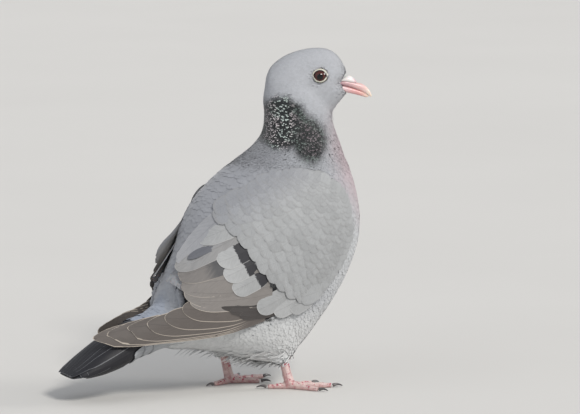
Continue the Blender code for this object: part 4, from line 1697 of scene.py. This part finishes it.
@dataclass
class WingBed:
    """A folded wing's outer face as a smooth sheet over the side view, wider than the wing itself.

    Attributes:
        side: Which wing.
        step: The size of its cells, in millimetres.
        inset: How far it lies inside the solids.
        rounds: How often the sheet grows and evens out beyond them.
        low: Its lowest ahead and up.
        high: Its highest ahead and up.
        xs: Its cells' places ahead.
        zs: Its cells' heights.
        heights: How far out it lies at each cell.
        known: The cells that the solids fill.
    """

    side: Side
    step: float = 2.0
    inset: float = 1.5
    rounds: int = 140
    low: Pair = (-150.0, 26.0)
    high: Pair = (66.0, 168.0)
    xs: Rows = field(init=False)
    zs: Rows = field(init=False)
    heights: Rows = field(init=False)
    known: Rows = field(init=False)

    def __post_init__(self) -> None:
        """Measures the solids' outer face and fills in what lies round it."""
        source = solids([f"{part}_{self.side.label}" for part in ("coverts", "tertials", "primaries")], 0.0)
        tree = tree_of(source.data, posed(points_of(source.data)))
        bpy.data.objects.remove(source)
        self.xs = np.arange(self.low[0], self.high[0], self.step)
        self.zs = np.arange(self.low[1], self.high[1], self.step)
        sign = self.side.value
        found = np.full((len(self.xs), len(self.zs)), np.nan)
        for i, x in enumerate(self.xs):
            for j, z in enumerate(self.zs):
                hit = tree.ray_cast(Vector((x, sign * 90.0, z)), Vector((0, -sign, 0)))[0]
                if hit is not None and hit.y * sign > 0:
                    found[i, j] = hit.y * sign
        self.known = ~np.isnan(found)
        ring = np.pad(self.known, 1)  # the rounded rim of the tips is left out
        flat = ring[:-2, 1:-1] & ring[2:, 1:-1] & ring[1:-1, :-2] & ring[1:-1, 2:]
        known = self.known & (flat | (self.xs > -60)[:, None])
        heights, weight = np.where(known, found, 0.0), known.astype(float)
        for turn in range(self.rounds):
            total, share = (
                sum(np.pad(grid, 1)[a:a + grid.shape[0], b:b + grid.shape[1]]
                    for a, b in ((0, 1), (2, 1), (1, 0), (1, 2)))
                for grid in (heights * weight, weight))
            still = known & (turn < self.rounds - 3)  # the last rounds even out the solids' face as well
            heights = np.where(still | (share == 0), heights, total / np.maximum(share, 1e-6))
            weight = np.maximum(weight, share > 0)
        self.heights = heights

    def depth(self, places: Rows) -> Rows:
        """How far out the sheet lies at places of the side view.

        Args:
            places: Ahead and up for each.

        Returns:
            One distance from the bird's middle plane for each.
        """
        x = np.clip((places[:, 0] - self.low[0]) / self.step, 0, len(self.xs) - 1.001)
        z = np.clip((places[:, 1] - self.low[1]) / self.step, 0, len(self.zs) - 1.001)
        i, j = x.astype(int), z.astype(int)
        s, t, h = x - i, z - j, self.heights
        near = (1 - t) * h[i, j] + t * h[i, j + 1]
        far = (1 - t) * h[i + 1, j] + t * h[i + 1, j + 1]
        return (1 - s) * near + s * far

    def holds(self, place: Rows) -> bool:
        """Whether a place of the side view lies on the solids themselves."""
        i, j = ((np.array(place) - self.low) / self.step).round().astype(int)
        return bool(self.known[i, j])

    def face(self, places: Rows) -> Rows:
        """The sheet's outward directions.

        Args:
            places: Ahead and up for each.

        Returns:
            One direction for each.
        """
        reach = 3.0
        ahead, up = (
            (self.depth(places + way) - self.depth(places - way)) / (2 * reach)
            for way in ((reach, 0), (0, reach)))
        return unit(np.stack((-ahead, np.full(len(places), float(self.side.value)), -up), 1))

    def lift(self, places: Rows) -> Rows:
        """Places of the side view as points on the sheet."""
        points = np.stack((places[:, 0], self.side.value * self.depth(places), places[:, 1]), 1)
        return points - self.face(places) * self.inset

    def sheet(self) -> bpy.types.Object:
        """The sheet as a mesh for the feathers to lie on."""
        grid = np.stack(np.meshgrid(self.xs, self.zs, indexing="ij"), -1).reshape(-1, 2)
        rows, columns = len(self.xs), len(self.zs)
        faces = []
        for i in range(rows - 1):
            for j in range(columns - 1):
                a = i * columns + j
                face = [a, a + columns, a + columns + 1, a + 1]
                faces.append(face if self.side is Side.RIGHT else face[::-1])
        return helper(placed("wing bed", new_mesh("wing bed", framed(self.lift(grid)), faces)))


DUSK, PEARL = (0.110, 0.096, 0.088), (0.365, 0.372, 0.378)
# The coverts' darker rim colour is painted shade where each covert overlaps the next.
CREAM, COVERT_EDGE_SHADE = (0.66, 0.585, 0.50), (0.27, 0.27, 0.272)


@dataclass
class Wing:
    """The large feathers of one folded wing.

    The coverts' rows run between three curves of the side view, each from its top down.

    Attributes:
        side: Which wing.
        rows: How many rows of lesser and median coverts there are.
        pale: The coverts' colour.
        dark: Their colour up on the shoulder.
        tuck: How far the left wing's back half is drawn in, in millimetres, as it is folded tighter.
        short: How much shorter the left wing's longest primary is.
        front: The wing's front edge.
        middle: The middle of the wing.
        rear: Where the greater coverts begin.
        greater_tips: The greater coverts' tips.
        greater_roots: Their roots.
    """

    side: Side
    rows: int = 17
    pale: Colour = (0.335, 0.344, 0.352)
    dark: Colour = (0.270, 0.278, 0.300)
    tuck: float = 7.0
    short: float = 17.0
    front: tuple[Pair, ...] = (
        (-6, 147), (13, 148), (28, 145), (39, 137), (46, 127), (49.5, 114), (48.5, 100), (43, 87), (35.5, 77),
        (27, 69))
    middle: tuple[Pair, ...] = (
        (-14, 142), (-2, 140), (12, 134), (24, 124), (31, 112), (34, 100), (32, 90), (30, 82), (25, 75),
        (21, 69))
    rear: tuple[Pair, ...] = (
        (-46, 124), (-40, 117), (-34, 109.5), (-29, 102.5), (-24.5, 95.5), (-20, 88.5), (-13, 81.5), (-6, 75),
        (2, 69.5), (12, 65.5))
    greater_tips: tuple[Pair, ...] = (
        (-58, 110), (-53, 106), (-49, 101.5), (-46, 92.8), (-43, 83.3), (-37.6, 74), (-28.5, 66), (-20, 60),
        (-8, 57.5), (4, 59))
    greater_roots: tuple[Pair, ...] = (
        (-32, 126), (-28, 119), (-25, 112), (-21, 104), (-17, 95.5), (-12, 86.5), (-3, 78), (6, 72), (16, 68),
        (24, 68))

    def coverts(self) -> list[Quill]:
        """The lesser and median coverts, row behind row from the front edge."""
        quills, rng = [], np.random.default_rng(70 + self.side.value)
        places = np.linspace(0, 1, 60)
        a, b, c = (along(curve, places) for curve in (self.front, self.middle, self.rear))
        for row in range(1, self.rows + 1):
            t = (row / self.rows) ** 1.12
            line = (1 - t) ** 2 * a + 2 * t * (1 - t) * b + t**2 * c
            way = unit((1 - t) * (b - a) + t * (c - b))
            way = unit(way + (1 - t) * 1.1 * places[:, None] ** 0.6 * np.array((-0.1, -1.0)))
            if t > 0.75:
                way = unit(way + (t - 0.75) * 4 * np.array((-0.9, -0.43)))
            run = np.concatenate(([0], np.cumsum(np.linalg.norm(np.diff(line, axis=0), axis=1))))
            pitch = 3.9 + 4.8 * t
            count = max(int(run[-1] / pitch), 3)
            for k in range(count + 1):
                s = min((k + 0.5 * (row % 2)) / count, 1.0) * run[-1]
                s += rng.normal(0, 0.08) * pitch * (t < 0.95)  # the last row lies in order
                tip, aim = (np.array([np.interp(s, run, part) for part in rows.T]) for rows in (line, way))
                tip = tip + rng.normal(0, 0.35, 2) * (t < 0.95)
                aim = unit(aim + rng.normal(0, 0.07, 2))
                length = (6.5 + 12.5 * t) * rng.uniform(0.9, 1.1)
                mantle = float(ease(tip[1] - 0.55 * tip[0], 122, 150))
                tint = tuple((1 - mantle) * pale + mantle * dark for pale, dark in zip(self.pale, self.dark))
                wide, high = pitch * rng.uniform(1.7, 2.0), 1.25 + 0.35 * t
                root = tuple(tip - aim * length)
                # Each covert's darker rim is painted shade along its overlap.
                quills.append(Quill(root, tuple(tip), wide, 0.35, high, tint, COVERT_EDGE_SHADE, rng.uniform(0.15, 0.5)))
        return quills

    def greater(self) -> list[Quill]:
        """The greater coverts, three of them with a dark block near the root."""
        places = np.linspace(0, 1, len(self.greater_tips))
        roots, tips = along(self.greater_roots, places), along(self.greater_tips, places)
        blocks = {3: (0.24, 0.50, 1.6), 4: (0.21, 0.46, 1.6), 5: (0.12, 0.37, 1.6)}
        return [
            Quill(tuple(roots[i]), tuple(tips[i]), 14.0, 0.25, 1.5 - 0.07 * i, PEARL, (0.52, 0.52, 0.51), 0.6,
                  blocks.get(i, NO_INK), 0.6)
            for i in range(1, len(places))]

    def tertials(self) -> list[Quill]:
        """The tertials and the secondaries' edges, the innermost on top."""
        spot, sand, ash = (0.42, 0.60, 1.1), (0.50, 0.48, 0.46), (0.46, 0.45, 0.44)
        return [
            Quill((-10, 71), (-67, 69.0), 15.0, 0.5, 1.35, (0.205, 0.190, 0.180), CREAM, 0.55, bow=2.0),
            Quill((-12, 76), (-70.0, 75), 20.0, 0.4, 1.5, (0.215, 0.200, 0.189), CREAM, 0.35, bow=3.0),
            Quill((-16, 88), (-71.0, 79.5), 21.0, 0.4, 1.6, (0.200, 0.186, 0.176), CREAM, 0.2, bow=3.0),
            Quill((-22, 102), (-70.0, 83.5), 18.0, 0.4, 1.7, (0.195, 0.182, 0.174), CREAM, 0.25, spot, 2.0),
            Quill((-26, 113), (-69.5, 88.0), 15.0, 0.4, 1.8, (0.27, 0.268, 0.27), sand, 0.3, bow=1.0),
            Quill((-28, 122), (-70.5, 91.5), 15.0, 0.4, 1.9, (0.29, 0.291, 0.298), ash, 0.3, bow=1.0),
            Quill((-30, 129), (-72, 95.0), 15.0, 0.4, 2.0, (0.275, 0.281, 0.300), (0.42, 0.42, 0.42), 0.3),
            Quill((-37, 108.6), (-61.5, 94.4), 6.5, 0.1, 2.8, (0.120, 0.125, 0.142), (0.20, 0.20, 0.21), 0.3),
        ]

    def primaries(self) -> list[Quill]:
        """The primaries, the longest at the bottom, under the dark coverts of the hand."""
        tips = ((-129, 43.4), (-118, 45.2), (-104.5, 48.0), (-92.5, 51.8), (-82, 57.0), (-71.5, 64.0))
        quills, short = [], self.short if self.side is Side.LEFT else 0.0
        for index, tip in enumerate(tips):
            t = index / (len(tips) - 1)
            tip = (tip[0] + short * (1 - 0.5 * t), tip[1] - 0.1 * short * (1 - t))
            root, wide = (-14 - 6 * t, 55.5 + 6.5 * t), 14.0 + 1.5 * t
            low, high = 0.1 + 0.08 * index, 0.3 + 0.2 * index
            quills.append(Quill(root, tip, wide, low, high, DUSK, CREAM, 0.62, bow=1.5))
        for root, tip in (((-6, 57.5), (-33, 57.0)), ((-8, 60.0), (-40, 60.5)), ((-8, 63.0), (-46, 63.8))):
            tint, rim = (0.052, 0.046, 0.044), (0.26, 0.23, 0.21)
            quills.append(Quill(root, tip, 7.0, 0.4, 1.1, tint, rim, 0.3, bow=0.5))
        return quills

    def close(self, piece: bpy.types.Object) -> None:
        """Draws the left wing's back half towards the rump.

        Args:
            piece: The piece of the wing to move.
        """
        places = points_of(piece.data)
        tuck = self.tuck if self.side is Side.LEFT else 0.0
        places[:, 1] -= tuck * MM * ease(-places[:, 0] / MM, -15, 35)
        move(piece.data, places)

    def build(self) -> None:
        """Lays the wing's feathers in four pieces and builds the core under them."""
        label, sign = self.side.label, self.side.value
        bed = WingBed(self.side)
        sheet = bed.sheet()
        quill = QuillFinish(f"flight feathers {label}")
        soft = QuillFinish(f"wing coverts {label}", barbs=14.0, rim=0.16, taper=0.55, close=2.5, shaft=0.08)
        great = QuillFinish(f"greater coverts {label}", rim=0.06, close=7.0, shaft=0.12)
        faded = (0.075, 0.075, 0.08)
        brown = QuillFinish(f"tertial feathers {label}", fade=0.09, close=45.0, shaft=0.15, inked=faded)
        flight, covert = replace(FLIGHT, tilt=0.26 * sign), replace(COVERT, tilt=0.07 * sign)
        long = replace(FLIGHT, name="primary vane", blunt=0.6, tip=0.08, camber=0.10, tilt=0.05 * sign)
        sets = (
            ("primary", self.primaries(), long, quill, 1.2),
            ("tertial", self.tertials(), flight, brown, 1.4),
            ("greater_covert", self.greater(), flight, great, 0.8),
            ("covert", self.coverts(), covert, soft, 0.22),
        )
        for index, (name, quills, vane, finish, rise) in enumerate(sets):
            slot, nodes = "flight_feathers", [f"primaries_{label}"] if name == "primary" else []
            if "covert" in name:
                slot = "wing_plumage"
                quills = [q for q in quills if bed.holds(q.tip) and bed.holds(np.add(q.tip, q.root) / 2)]
            chart = (CORNERS[index % 2], CORNERS[index // 2])
            points = quill_points(quills, bed.lift, bed.face, chart, 10 + sign + index)
            made = lay_quills(f"{name}_feathers_{label}", points, sheet, vane, finish.build(), rise)
            self.close(made)
            hand_over(made, slot, *nodes)
        self.core()

    def core(self) -> None:
        """Builds the dark core that fills the wing under its tertials."""
        label = self.side.label
        core = fused(solids([f"tertials_{label}"], 0.0), 0.9, 4, 0.3)
        core.name = core.data.name = f"tertial_core_{label}"
        sink(core, lambda points: np.full(len(points), 1.9))
        middle = Matrix.Translation(tuple(points_of(core.data).mean(0)))
        inward = Matrix.Translation((0, -1.1 * MM * self.side.value, 0))
        core.data.transform(inward @ middle @ Matrix.Scale(0.9, 4) @ middle.inverted())
        self.close(core)
        grey, dark = (0.29, 0.295, 0.31), (0.22, 0.225, 0.24)
        core.data.materials.clear()
        core.data.materials.append(FleshFinish(f"quill bed {label}", grey, dark, 260.0, rough=0.7).build())
        hand_over(core, "flight_feathers", f"tertials_{label}")


@dataclass
class Tail:
    """The folded tail: a core, its long feathers all round, and the coverts over their roots.

    Attributes:
        stations: Its sections: place ahead, top, bottom and half width.
        inset: How far the feathers' bed lies inside it.
        round: How round a section is, 1 being an ellipse and less a box.
    """

    stations: tuple[tuple[float, float, float, float], ...] = (
        (-70, 60, 33, 16), (-78, 56, 31.8, 17), (-94, 51, 26.5, 19.5), (-106, 44.5, 20, 20),
        (-118, 37, 16.8, 20), (-128, 29, 15.8, 19.5), (-135.5, 22.5, 15.6, 17.5), (-141, 18.2, 15.6, 12.5),
        (-150, 15.8, 15.2, 9))
    inset: float = 0.9
    round: float = 0.85

    def lift(self, places: Rows) -> Rows:
        """Points on the tail.

        Args:
            places: The place ahead and the angle round the tail, in degrees, for each.

        Returns:
            One point of the pose for each.
        """
        table = np.array(self.stations)[::-1]
        x, angle = places[:, 0], np.radians(places[:, 1])
        top, bottom, wide = (np.interp(x, table[:, 0], table[:, i]) for i in (1, 2, 3))
        c, s = np.cos(angle), np.sin(angle)
        y = (wide - self.inset) * np.sign(c) * np.abs(c) ** self.round
        half = np.maximum((top - bottom) / 2 - self.inset * 0.8, 0.15)
        return np.stack((x, y, (top + bottom) / 2 + half * np.sign(s) * np.abs(s) ** self.round), 1)

    def face(self, places: Rows) -> Rows:
        """The directions out of the tail.

        Args:
            places: The same as lift takes.

        Returns:
            One direction for each.
        """
        fore, about = (self.lift(places + way) - self.lift(places - way) for way in ((2.0, 0.0), (0.0, 4.0)))
        out = np.cross(fore, about)
        away = self.lift(places) - self.lift(places + (0, 180.0))
        return unit(out * np.sign((out * away).sum(1, keepdims=True)))

    def shell(self, name: str, start: float, end: float, grow: float, count: int = 40) -> bpy.types.Object:
        """A closed tube along the tail.

        Args:
            name: Its name.
            start: The place ahead where it starts.
            end: Where it ends.
            grow: How far it lies outside the bed.
            count: How many points it has round it.

        Returns:
            The tube.
        """
        angles = np.linspace(0, 360, count, endpoint=False)
        grid = np.array([(x, angle) for x in np.linspace(start, end, 34) for angle in angles])
        return tube(name, self.lift(grid) + self.face(grid) * grow, count)

    def quills(self) -> list[Quill]:
        """The tail feathers, from the outermost below to the middle pair on top."""
        quills, tint, rim = [], (0.21, 0.225, 0.255), (0.26, 0.265, 0.28)
        for sign in (-1, 1):
            for index, angle in enumerate((-78, -52, -26, 0, 22, 44, 66, 84)):
                side = angle if sign > 0 else 180 - angle
                tip = (float(-131.0 - 10.2 * ease(angle, -10, 50)), side)
                high = 0.15 + 0.16 * index + (0.5 if angle > 30 else 0)
                quills.append(Quill((-84.0, side), tip, 14.0, 0.1, high, tint, rim, 0.5, (0.12, 1.4, 2.0)))
        return quills

    def coverts(self) -> list[Quill]:
        """The long soft feathers over and under the tail's root."""
        quills = []
        for row, start in enumerate((-74.0, -67.0, -60.0)):
            for k in range(16):
                angle = (k + 0.5 * (row % 2)) * 22.5
                top = math.sin(math.radians(angle)) > -0.1
                tint, length = ((0.30, 0.335, 0.415), 19.0) if top else ((0.36, 0.375, 0.395), 25.0)
                low, high, tip = 0.6 + 0.2 * row, 1.3 + 0.3 * row, (start - length, angle)
                quills.append(Quill((start, angle), tip, 10.0, low, high, tint, tint, 0.2))
        return quills

    def build(self) -> None:
        """Builds the core and lays its feathers."""
        core = self.shell("tail_core", -70, -140, -0.4)
        finish = FleshFinish("tail core", (0.035, 0.035, 0.04), (0.05, 0.052, 0.06), 300.0, rough=0.7)
        core.data.materials.append(finish.build())
        hand_over(core, "tail_feathers", "tail")
        bed = helper(self.shell("tail bed", -60, -149, 0.0))
        black = (0.014, 0.014, 0.018)
        long = QuillFinish("tail feathers", rim=0.07, blur=0.09, shaft=0.1, sheen=0.0, inked=black)
        soft = QuillFinish("tail coverts", barbs=12.0, relief=0.0001)
        sets = (
            ("tail_feathers", self.quills(), FLIGHT, long.build()),
            ("tail_coverts", self.coverts(), COVERT, soft.build()))
        for index, (name, quills, vane, finish) in enumerate(sets):
            points = quill_points(quills, self.lift, self.face, (CORNERS[index], CORNERS[0]), 31 + index)
            hand_over(lay_quills(name, points, bed, vane, finish, 0.7), "tail_feathers")


# ---------------------------------------------------------------- head and feet


Station = tuple[float, float, float, float, float]  # top: ahead and up; bottom: ahead and up; half width


def build_horn(
    name: str, stations: Sequence[Station], node: str, finish: HornFinish, slot: str, power: float = 0.8
) -> None:
    """Builds a closed, smooth horn shape through the head's stations.

    Args:
        name: The piece's name.
        stations: Its sections, from base to tip.
        node: The node it replaces.
        finish: Its finish.
        slot: The material slot meant for it, passed on to hand_over.
        power: How round a section is, 1 being an ellipse and less a box.
    """
    count = 20
    ring = np.linspace(0, 2 * math.pi, count, endpoint=False)
    across, upward = (np.sign(wave) * np.abs(wave) ** power for wave in (np.cos(ring), np.sin(ring)))
    points = []
    for top_x, top_z, low_x, low_z, half in along(stations, np.linspace(0, 1, 6 * len(stations))):
        (mid_x, mid_z), (arm_x, arm_z) = (((top_x + s * low_x) / 2, (top_z + s * low_z) / 2) for s in (1, -1))
        points += [head_point(mid_x + arm_x * u, half * a, mid_z + arm_z * u) for a, u in zip(across, upward)]
    made = tube(name, np.array(points), count)
    made.data.materials.append(finish.build())
    put(made.data, "grow", np.repeat(np.linspace(0, 1, len(points) // count), count))
    hand_over(made, slot, node)
    LOG.info("%s: %d faces", name, len(made.data.polygons))


@dataclass
class Face:
    """The bill, its cere and the eyes.

    Attributes:
        upper: The upper bill's sections, from base to tip.
        lower: The lower bill's.
        cere: The cere's.
        bulge: How far the cornea stands out of the eyeball, in millimetres.
        cornea: The cornea's radius.
    """

    upper: tuple[Station, ...] = (
        (25.5, 207.0, 25.5, 205.6, 4.6), (28.0, 207.4, 28.0, 205.0, 4.9), (33.0, 208.0, 32.6, 203.9, 4.6),
        (37.5, 207.2, 37.3, 202.6, 3.7), (41.0, 206.2, 40.4, 201.5, 3.35), (44.2, 205.2, 43.0, 200.4, 3.05),
        (46.8, 203.4, 45.6, 198.9, 2.6), (48.9, 201.0, 47.8, 197.6, 1.9), (50.1, 198.6, 49.0, 196.9, 1.15),
        (50.5, 197.0, 49.9, 196.3, 0.45))
    lower: tuple[Station, ...] = (
        (25.5, 205.5, 26.5, 203.4, 4.2), (29.0, 204.9, 29.8, 201.0, 4.4), (33.0, 204.2, 33.5, 199.4, 4.0),
        (37.2, 202.9, 37.8, 198.5, 3.3), (41.0, 201.6, 41.8, 197.5, 2.8), (44.2, 200.2, 44.9, 196.6, 2.3),
        (46.8, 198.7, 46.9, 196.2, 1.6), (48.3, 197.5, 48.2, 196.3, 0.7))
    cere: tuple[Station, ...] = (
        (29.2, 208.4, 29.6, 207.2, 4.5), (32.0, 210.2, 32.4, 206.7, 4.8), (34.8, 210.9, 35.2, 206.1, 4.6),
        (36.9, 210.2, 37.3, 205.6, 4.2), (38.5, 208.9, 38.9, 205.4, 3.7), (39.8, 207.4, 40.1, 205.7, 3.1))
    bulge: float = 0.35
    cornea: float = 3.6

    def eye(self, side: Side, finish: Material) -> None:
        """Builds one eyeball, whose front stands out a little as the clear cornea does.

        Args:
            side: Which eye.
            finish: Its material.
        """
        centre = eye_centre(side)
        turn = Vector((0, 0, 1)).rotation_difference(Vector(eye_front(side, 20) - centre)).to_matrix()
        bm = bmesh.new()
        bmesh.ops.create_uvsphere(bm, u_segments=64, v_segments=40, radius=1.0)
        radii = np.zeros(len(bm.verts))
        for vert in bm.verts:
            front = vert.co.z > 0
            radius = EYE_RADIUS * math.hypot(vert.co.x, vert.co.y)
            radii[vert.index] = radius * MM if front else EYE_RADIUS * MM
            bulge = self.bulge * max(0.0, 1 - (radius / self.cornea) ** 2) ** 0.5 * front
            vert.co = turn @ (vert.co * (EYE_RADIUS - 0.25 + bulge))
            vert.co = Vector(framed(np.array(vert.co) + centre))
        mesh = bpy.data.meshes.new("eye")
        bm.to_mesh(mesh)
        bm.free()
        mesh.polygons.foreach_set("use_smooth", [True] * len(mesh.polygons))
        mesh.materials.append(finish)
        put(mesh, "radius", radii)
        hand_over(placed(f"eyeball_{side.label}", mesh), "eye", f"eye_{side.label}")

    def build(self) -> None:
        """Builds the bill and the eyes."""
        rose = HornFinish("bill horn", (0.45, 0.27, 0.31), (0.74, 0.49, 0.47), (0.84, 0.74, 0.61))
        pale = HornFinish("lower bill horn", (0.70, 0.58, 0.60), (0.70, 0.34, 0.33), (0.82, 0.65, 0.53))
        white = HornFinish("cere skin", (0.80, 0.76, 0.74), (0.84, 0.80, 0.78), (0.62, 0.40, 0.44), 0.1)
        build_horn("upper_bill", self.upper, "bill_upper", rose, "bill")
        build_horn("lower_bill", self.lower, "bill_lower", pale, "bill")
        build_horn("cere_swelling", self.cere, "cere", white, "cere", power=0.9)
        finish = EyeFinish().build()
        for side in Side:
            self.eye(side, finish)


@dataclass
class Foot:
    """The plates and claws of one leg.

    Attributes:
        side: Which leg.
        knee: Where its bare part starts.
        hub: Where its toes meet.
        heading: Where its middle toe points, in degrees.
        toes: Each toe's name, its angle from the middle toe and its length.
    """

    side: Side
    knee: Triple
    hub: Triple
    heading: float
    toes: tuple[tuple[str, float, float], ...] = (
        ("inner", 36, 21), ("middle", 0, 29), ("outer", -37, 22), ("hind", 172, 14.5))

    def plates(self, tree: BVHTree) -> list[tuple[Rows, Rows, Rows, float, float]]:
        """Finds where the plates lie.

        Args:
            tree: The leg's surface.

        Returns:
            The root, aim, outward direction, width and length of each.
        """
        found = []

        def seek(start: Rows, way: Rows, aim: Rows, wide: float, long: float) -> None:
            """Adds a plate where a ray meets the leg.

            Args:
                start: Where the ray starts.
                way: Where it goes.
                aim: Where the plate points.
                wide: The plate's width.
                long: Its length.
            """
            source = Vector(framed(start))
            hit, normal, _, _ = tree.ray_cast(source, Vector(way))
            if hit is not None and (hit - source).length < 14 * MM:
                found.append((np.array(hit), aim, np.array(normal), wide, long))

        knee, hub = np.array(self.knee, float), np.array(self.hub, float)
        ahead = math.radians(self.heading)
        front = np.array((math.cos(ahead), math.sin(ahead), 0))
        down = unit(hub - knee)
        for t in np.arange(0.12, 1.0, 0.075):
            spot = knee + (hub - knee) * t
            for turn in (-75, 0, 75):
                way = np.array(Matrix.Rotation(math.radians(turn), 3, "Z") @ Vector(front))
                seek(spot + way * 9, -way, down, 4.4 if turn == 0 else 3.2, 2.5)
        for _, angle, length in self.toes:
            way = ahead + math.radians(angle) * -self.side.value
            toward = np.array((math.cos(way), math.sin(way), 0))
            aside = np.array((-toward[1], toward[0], 0))
            for reach in np.arange(2.4, length + 3.2, 1.55):
                shrink = 1 - 0.3 * reach / (length + 4)
                floor = hub * (1, 1, 0) + toward * reach
                seek(floor + (0, 0, 12), np.array((0, 0, -1.0)), toward, 4.3 * shrink, 2.3)
                floor = hub * (1, 1, 0) + toward * (reach + 0.8)
                for lean in (-1, 1):
                    start = floor + aside * lean * 7 + (0, 0, 7.5)
                    seek(start, -unit(aside * lean + (0, 0, 0.75)), toward, 2.6 * shrink, 1.9)
        return found

    def claws(self, finish: Material) -> None:
        """Smooths the claws' own shapes and shades them from base to point.

        Args:
            finish: The horn's material.
        """
        for name, _, _ in self.toes:
            node = f"{name}_toe_claw_{self.side.label}"
            made = solids([node], 0.0)
            made.name = f"{name}_claw_{self.side.label}"
            smooth = made.modifiers.new("smooth", "SUBSURF")
            smooth.levels = smooth.render_levels = 2
            applied(made)
            reach = np.linalg.norm((posed(points_of(made.data)) - self.hub)[:, :2], axis=1)
            put(made.data, "grow", (reach - reach.min()) / (reach.max() - reach.min()))
            made.data.materials.append(finish)
            hand_over(made, "claw", node)

    def build(self, skin: Skin, finish: Material, horn: Material) -> None:
        """Lays the plates over the leg's skin and adds the claws.

        Args:
            skin: The finished skin.
            finish: The plates' material.
            horn: The claws' material.
        """
        tree = tree_of(skin.legs.data, points_of(skin.legs.data))
        roots, aims, ups, wide, long = (np.array(values) for values in zip(*self.plates(tree)))
        points = new_mesh("plate points", roots - aims * long[:, None] * 0.5 * MM)
        count = len(roots)
        attributes = {
            "aim": aims, "up": ups, "size": np.stack((wide * MM, long * MM, np.ones(count)), 1),
            "root": roots, "low": np.full(count, -0.1 * MM), "high": np.full(count, 0.22 * MM),
            "chart": chart_at(posed(roots)),
            "tone": np.random.default_rng(50 + self.side.value).random(count)}
        for name, values in attributes.items():
            put(points, name, values)
        values = {"Bed": skin.legs, "Vane": SCUTE.build(), "Finish": finish, "Rise": 0.8, "Patch": SPECK}
        hand_over(grown(f"leg_plates_{self.side.label}", "rows", values, points), "leg_skin")
        self.claws(horn)


# ---------------------------------------------------------------- studio


@dataclass
class Studio:
    """The pale floor, the soft lights and the camera.

    Attributes:
        azimuth: The camera's angle round the bird, in degrees.
        elevation: Its angle over the floor.
        distance: How far it stands, in metres.
        aim: What it looks at, in metres.
        width: How much it takes in at the bird, in metres.
        floor: Half the floor's side, in metres.
    """

    azimuth: float = -25.0
    elevation: float = 8.0
    distance: float = 3.0
    aim: Triple = (0.0601, 0.0061, 0.1205)
    width: float = 0.3944
    floor: float = 12.0

    def toward(self, azimuth: float, elevation: float) -> Vector:
        """The direction from the bird at two angles; azimuth 0 is its right side."""
        a, e = math.radians(azimuth), math.radians(elevation)
        return Vector((math.sin(a) * math.cos(e), -math.cos(a) * math.cos(e), math.sin(e)))

    def light(
        self, name: str, azimuth: float, elevation: float, spread: float, power: float, tint: Colour
    ) -> None:
        """Adds one soft, even light.

        Args:
            name: Its name.
            azimuth: Where it comes from, in degrees round the bird.
            elevation: How high it stands, in degrees.
            spread: Its angle across, in degrees.
            power: Its strength.
            tint: Its colour.
        """
        lamp = bpy.data.lights.new(name, "SUN")
        lamp.angle, lamp.energy, lamp.color = math.radians(spread), power, tint
        way = self.toward(azimuth, elevation)
        made = placed(name, lamp)
        made.location = way * 2.0
        made.rotation_euler = (-way).to_track_quat("-Z", "Y").to_euler()

    def build(self) -> None:
        """Builds the floor, the lights and the camera."""
        way = self.toward(self.azimuth, self.elevation)
        camera = placed("camera", bpy.data.cameras.new("camera"))
        camera.location = Vector(self.aim) + way * self.distance
        camera.rotation_euler = (-way).to_track_quat("-Z", "Y").to_euler()
        camera.data.sensor_width = sensor = 36.0
        camera.data.lens = sensor * self.distance / self.width
        camera.data.clip_end = 50.0
        bpy.context.scene.camera = camera
        corners = np.array(((-1, -1, 0), (1, -1, 0), (1, 1, 0), (-1, 1, 0))) * self.floor
        floor = placed("floor", new_mesh("floor", corners, [(0, 1, 2, 3)]))
        material, bench, shader = new_material("pale floor", Specular_IOR_Level=0.2)
        point = bench.place()
        tint = bench.blend(bench.noise(point, 3.0), (0.62, 0.61, 0.59), (0.66, 0.65, 0.63))
        rough = bench.sum("MULTIPLY_ADD", bench.noise(point, 12.0), 0.1, 0.8)
        join(bench, shader, Base_Color=tint, Roughness=rough)
        floor.data.materials.append(material)
        world = bpy.data.worlds.new("studio")
        world.use_nodes = True
        sky = world.node_tree.nodes["Background"]
        sky.inputs["Color"].default_value = (0.78, 0.80, 0.84, 1.0)
        sky.inputs["Strength"].default_value = 0.62
        bpy.context.scene.world = world
        self.light("key", 5, 40, 14, 2.1, (1.0, 0.97, 0.92))
        self.light("side", 75, 25, 20, 0.8, (1.0, 0.98, 0.95))
        self.light("fill", -80, 25, 60, 0.35, (0.90, 0.95, 1.0))
        bpy.context.scene.view_settings.view_transform = "Standard"


GROUPS = (
    build_patch_group, build_marking_group, build_barb_group, build_lay_group, build_rows_tree,
    build_scatter_tree)


def main() -> None:
    """Builds the bird over its frame, from the skin outwards."""
    logging.basicConfig(level=logging.INFO, format="%(name)s: %(message)s")
    Studio().build()
    for build in GROUPS:
        build()
    skin = Skin()
    skin.build()
    build_coats(skin)
    for side in Side:
        Wing(side).build()
    Tail().build()
    Face().build()
    plates = ScuteFinish().build()
    horn = HornFinish("claw horn", (0.11, 0.095, 0.095), (0.075, 0.068, 0.07), (0.035, 0.033, 0.035)).build()
    Foot(Side.RIGHT, (9, -17, 27), (15, -18, 4.4), -16).build(skin, plates, horn)
    Foot(Side.LEFT, (-20, 17, 29), (-13.5, 18, 4.4), 14).build(skin, plates, horn)
    for made in HELPERS:
        bpy.data.objects.remove(made)


if __name__ == "__main__":
    main()
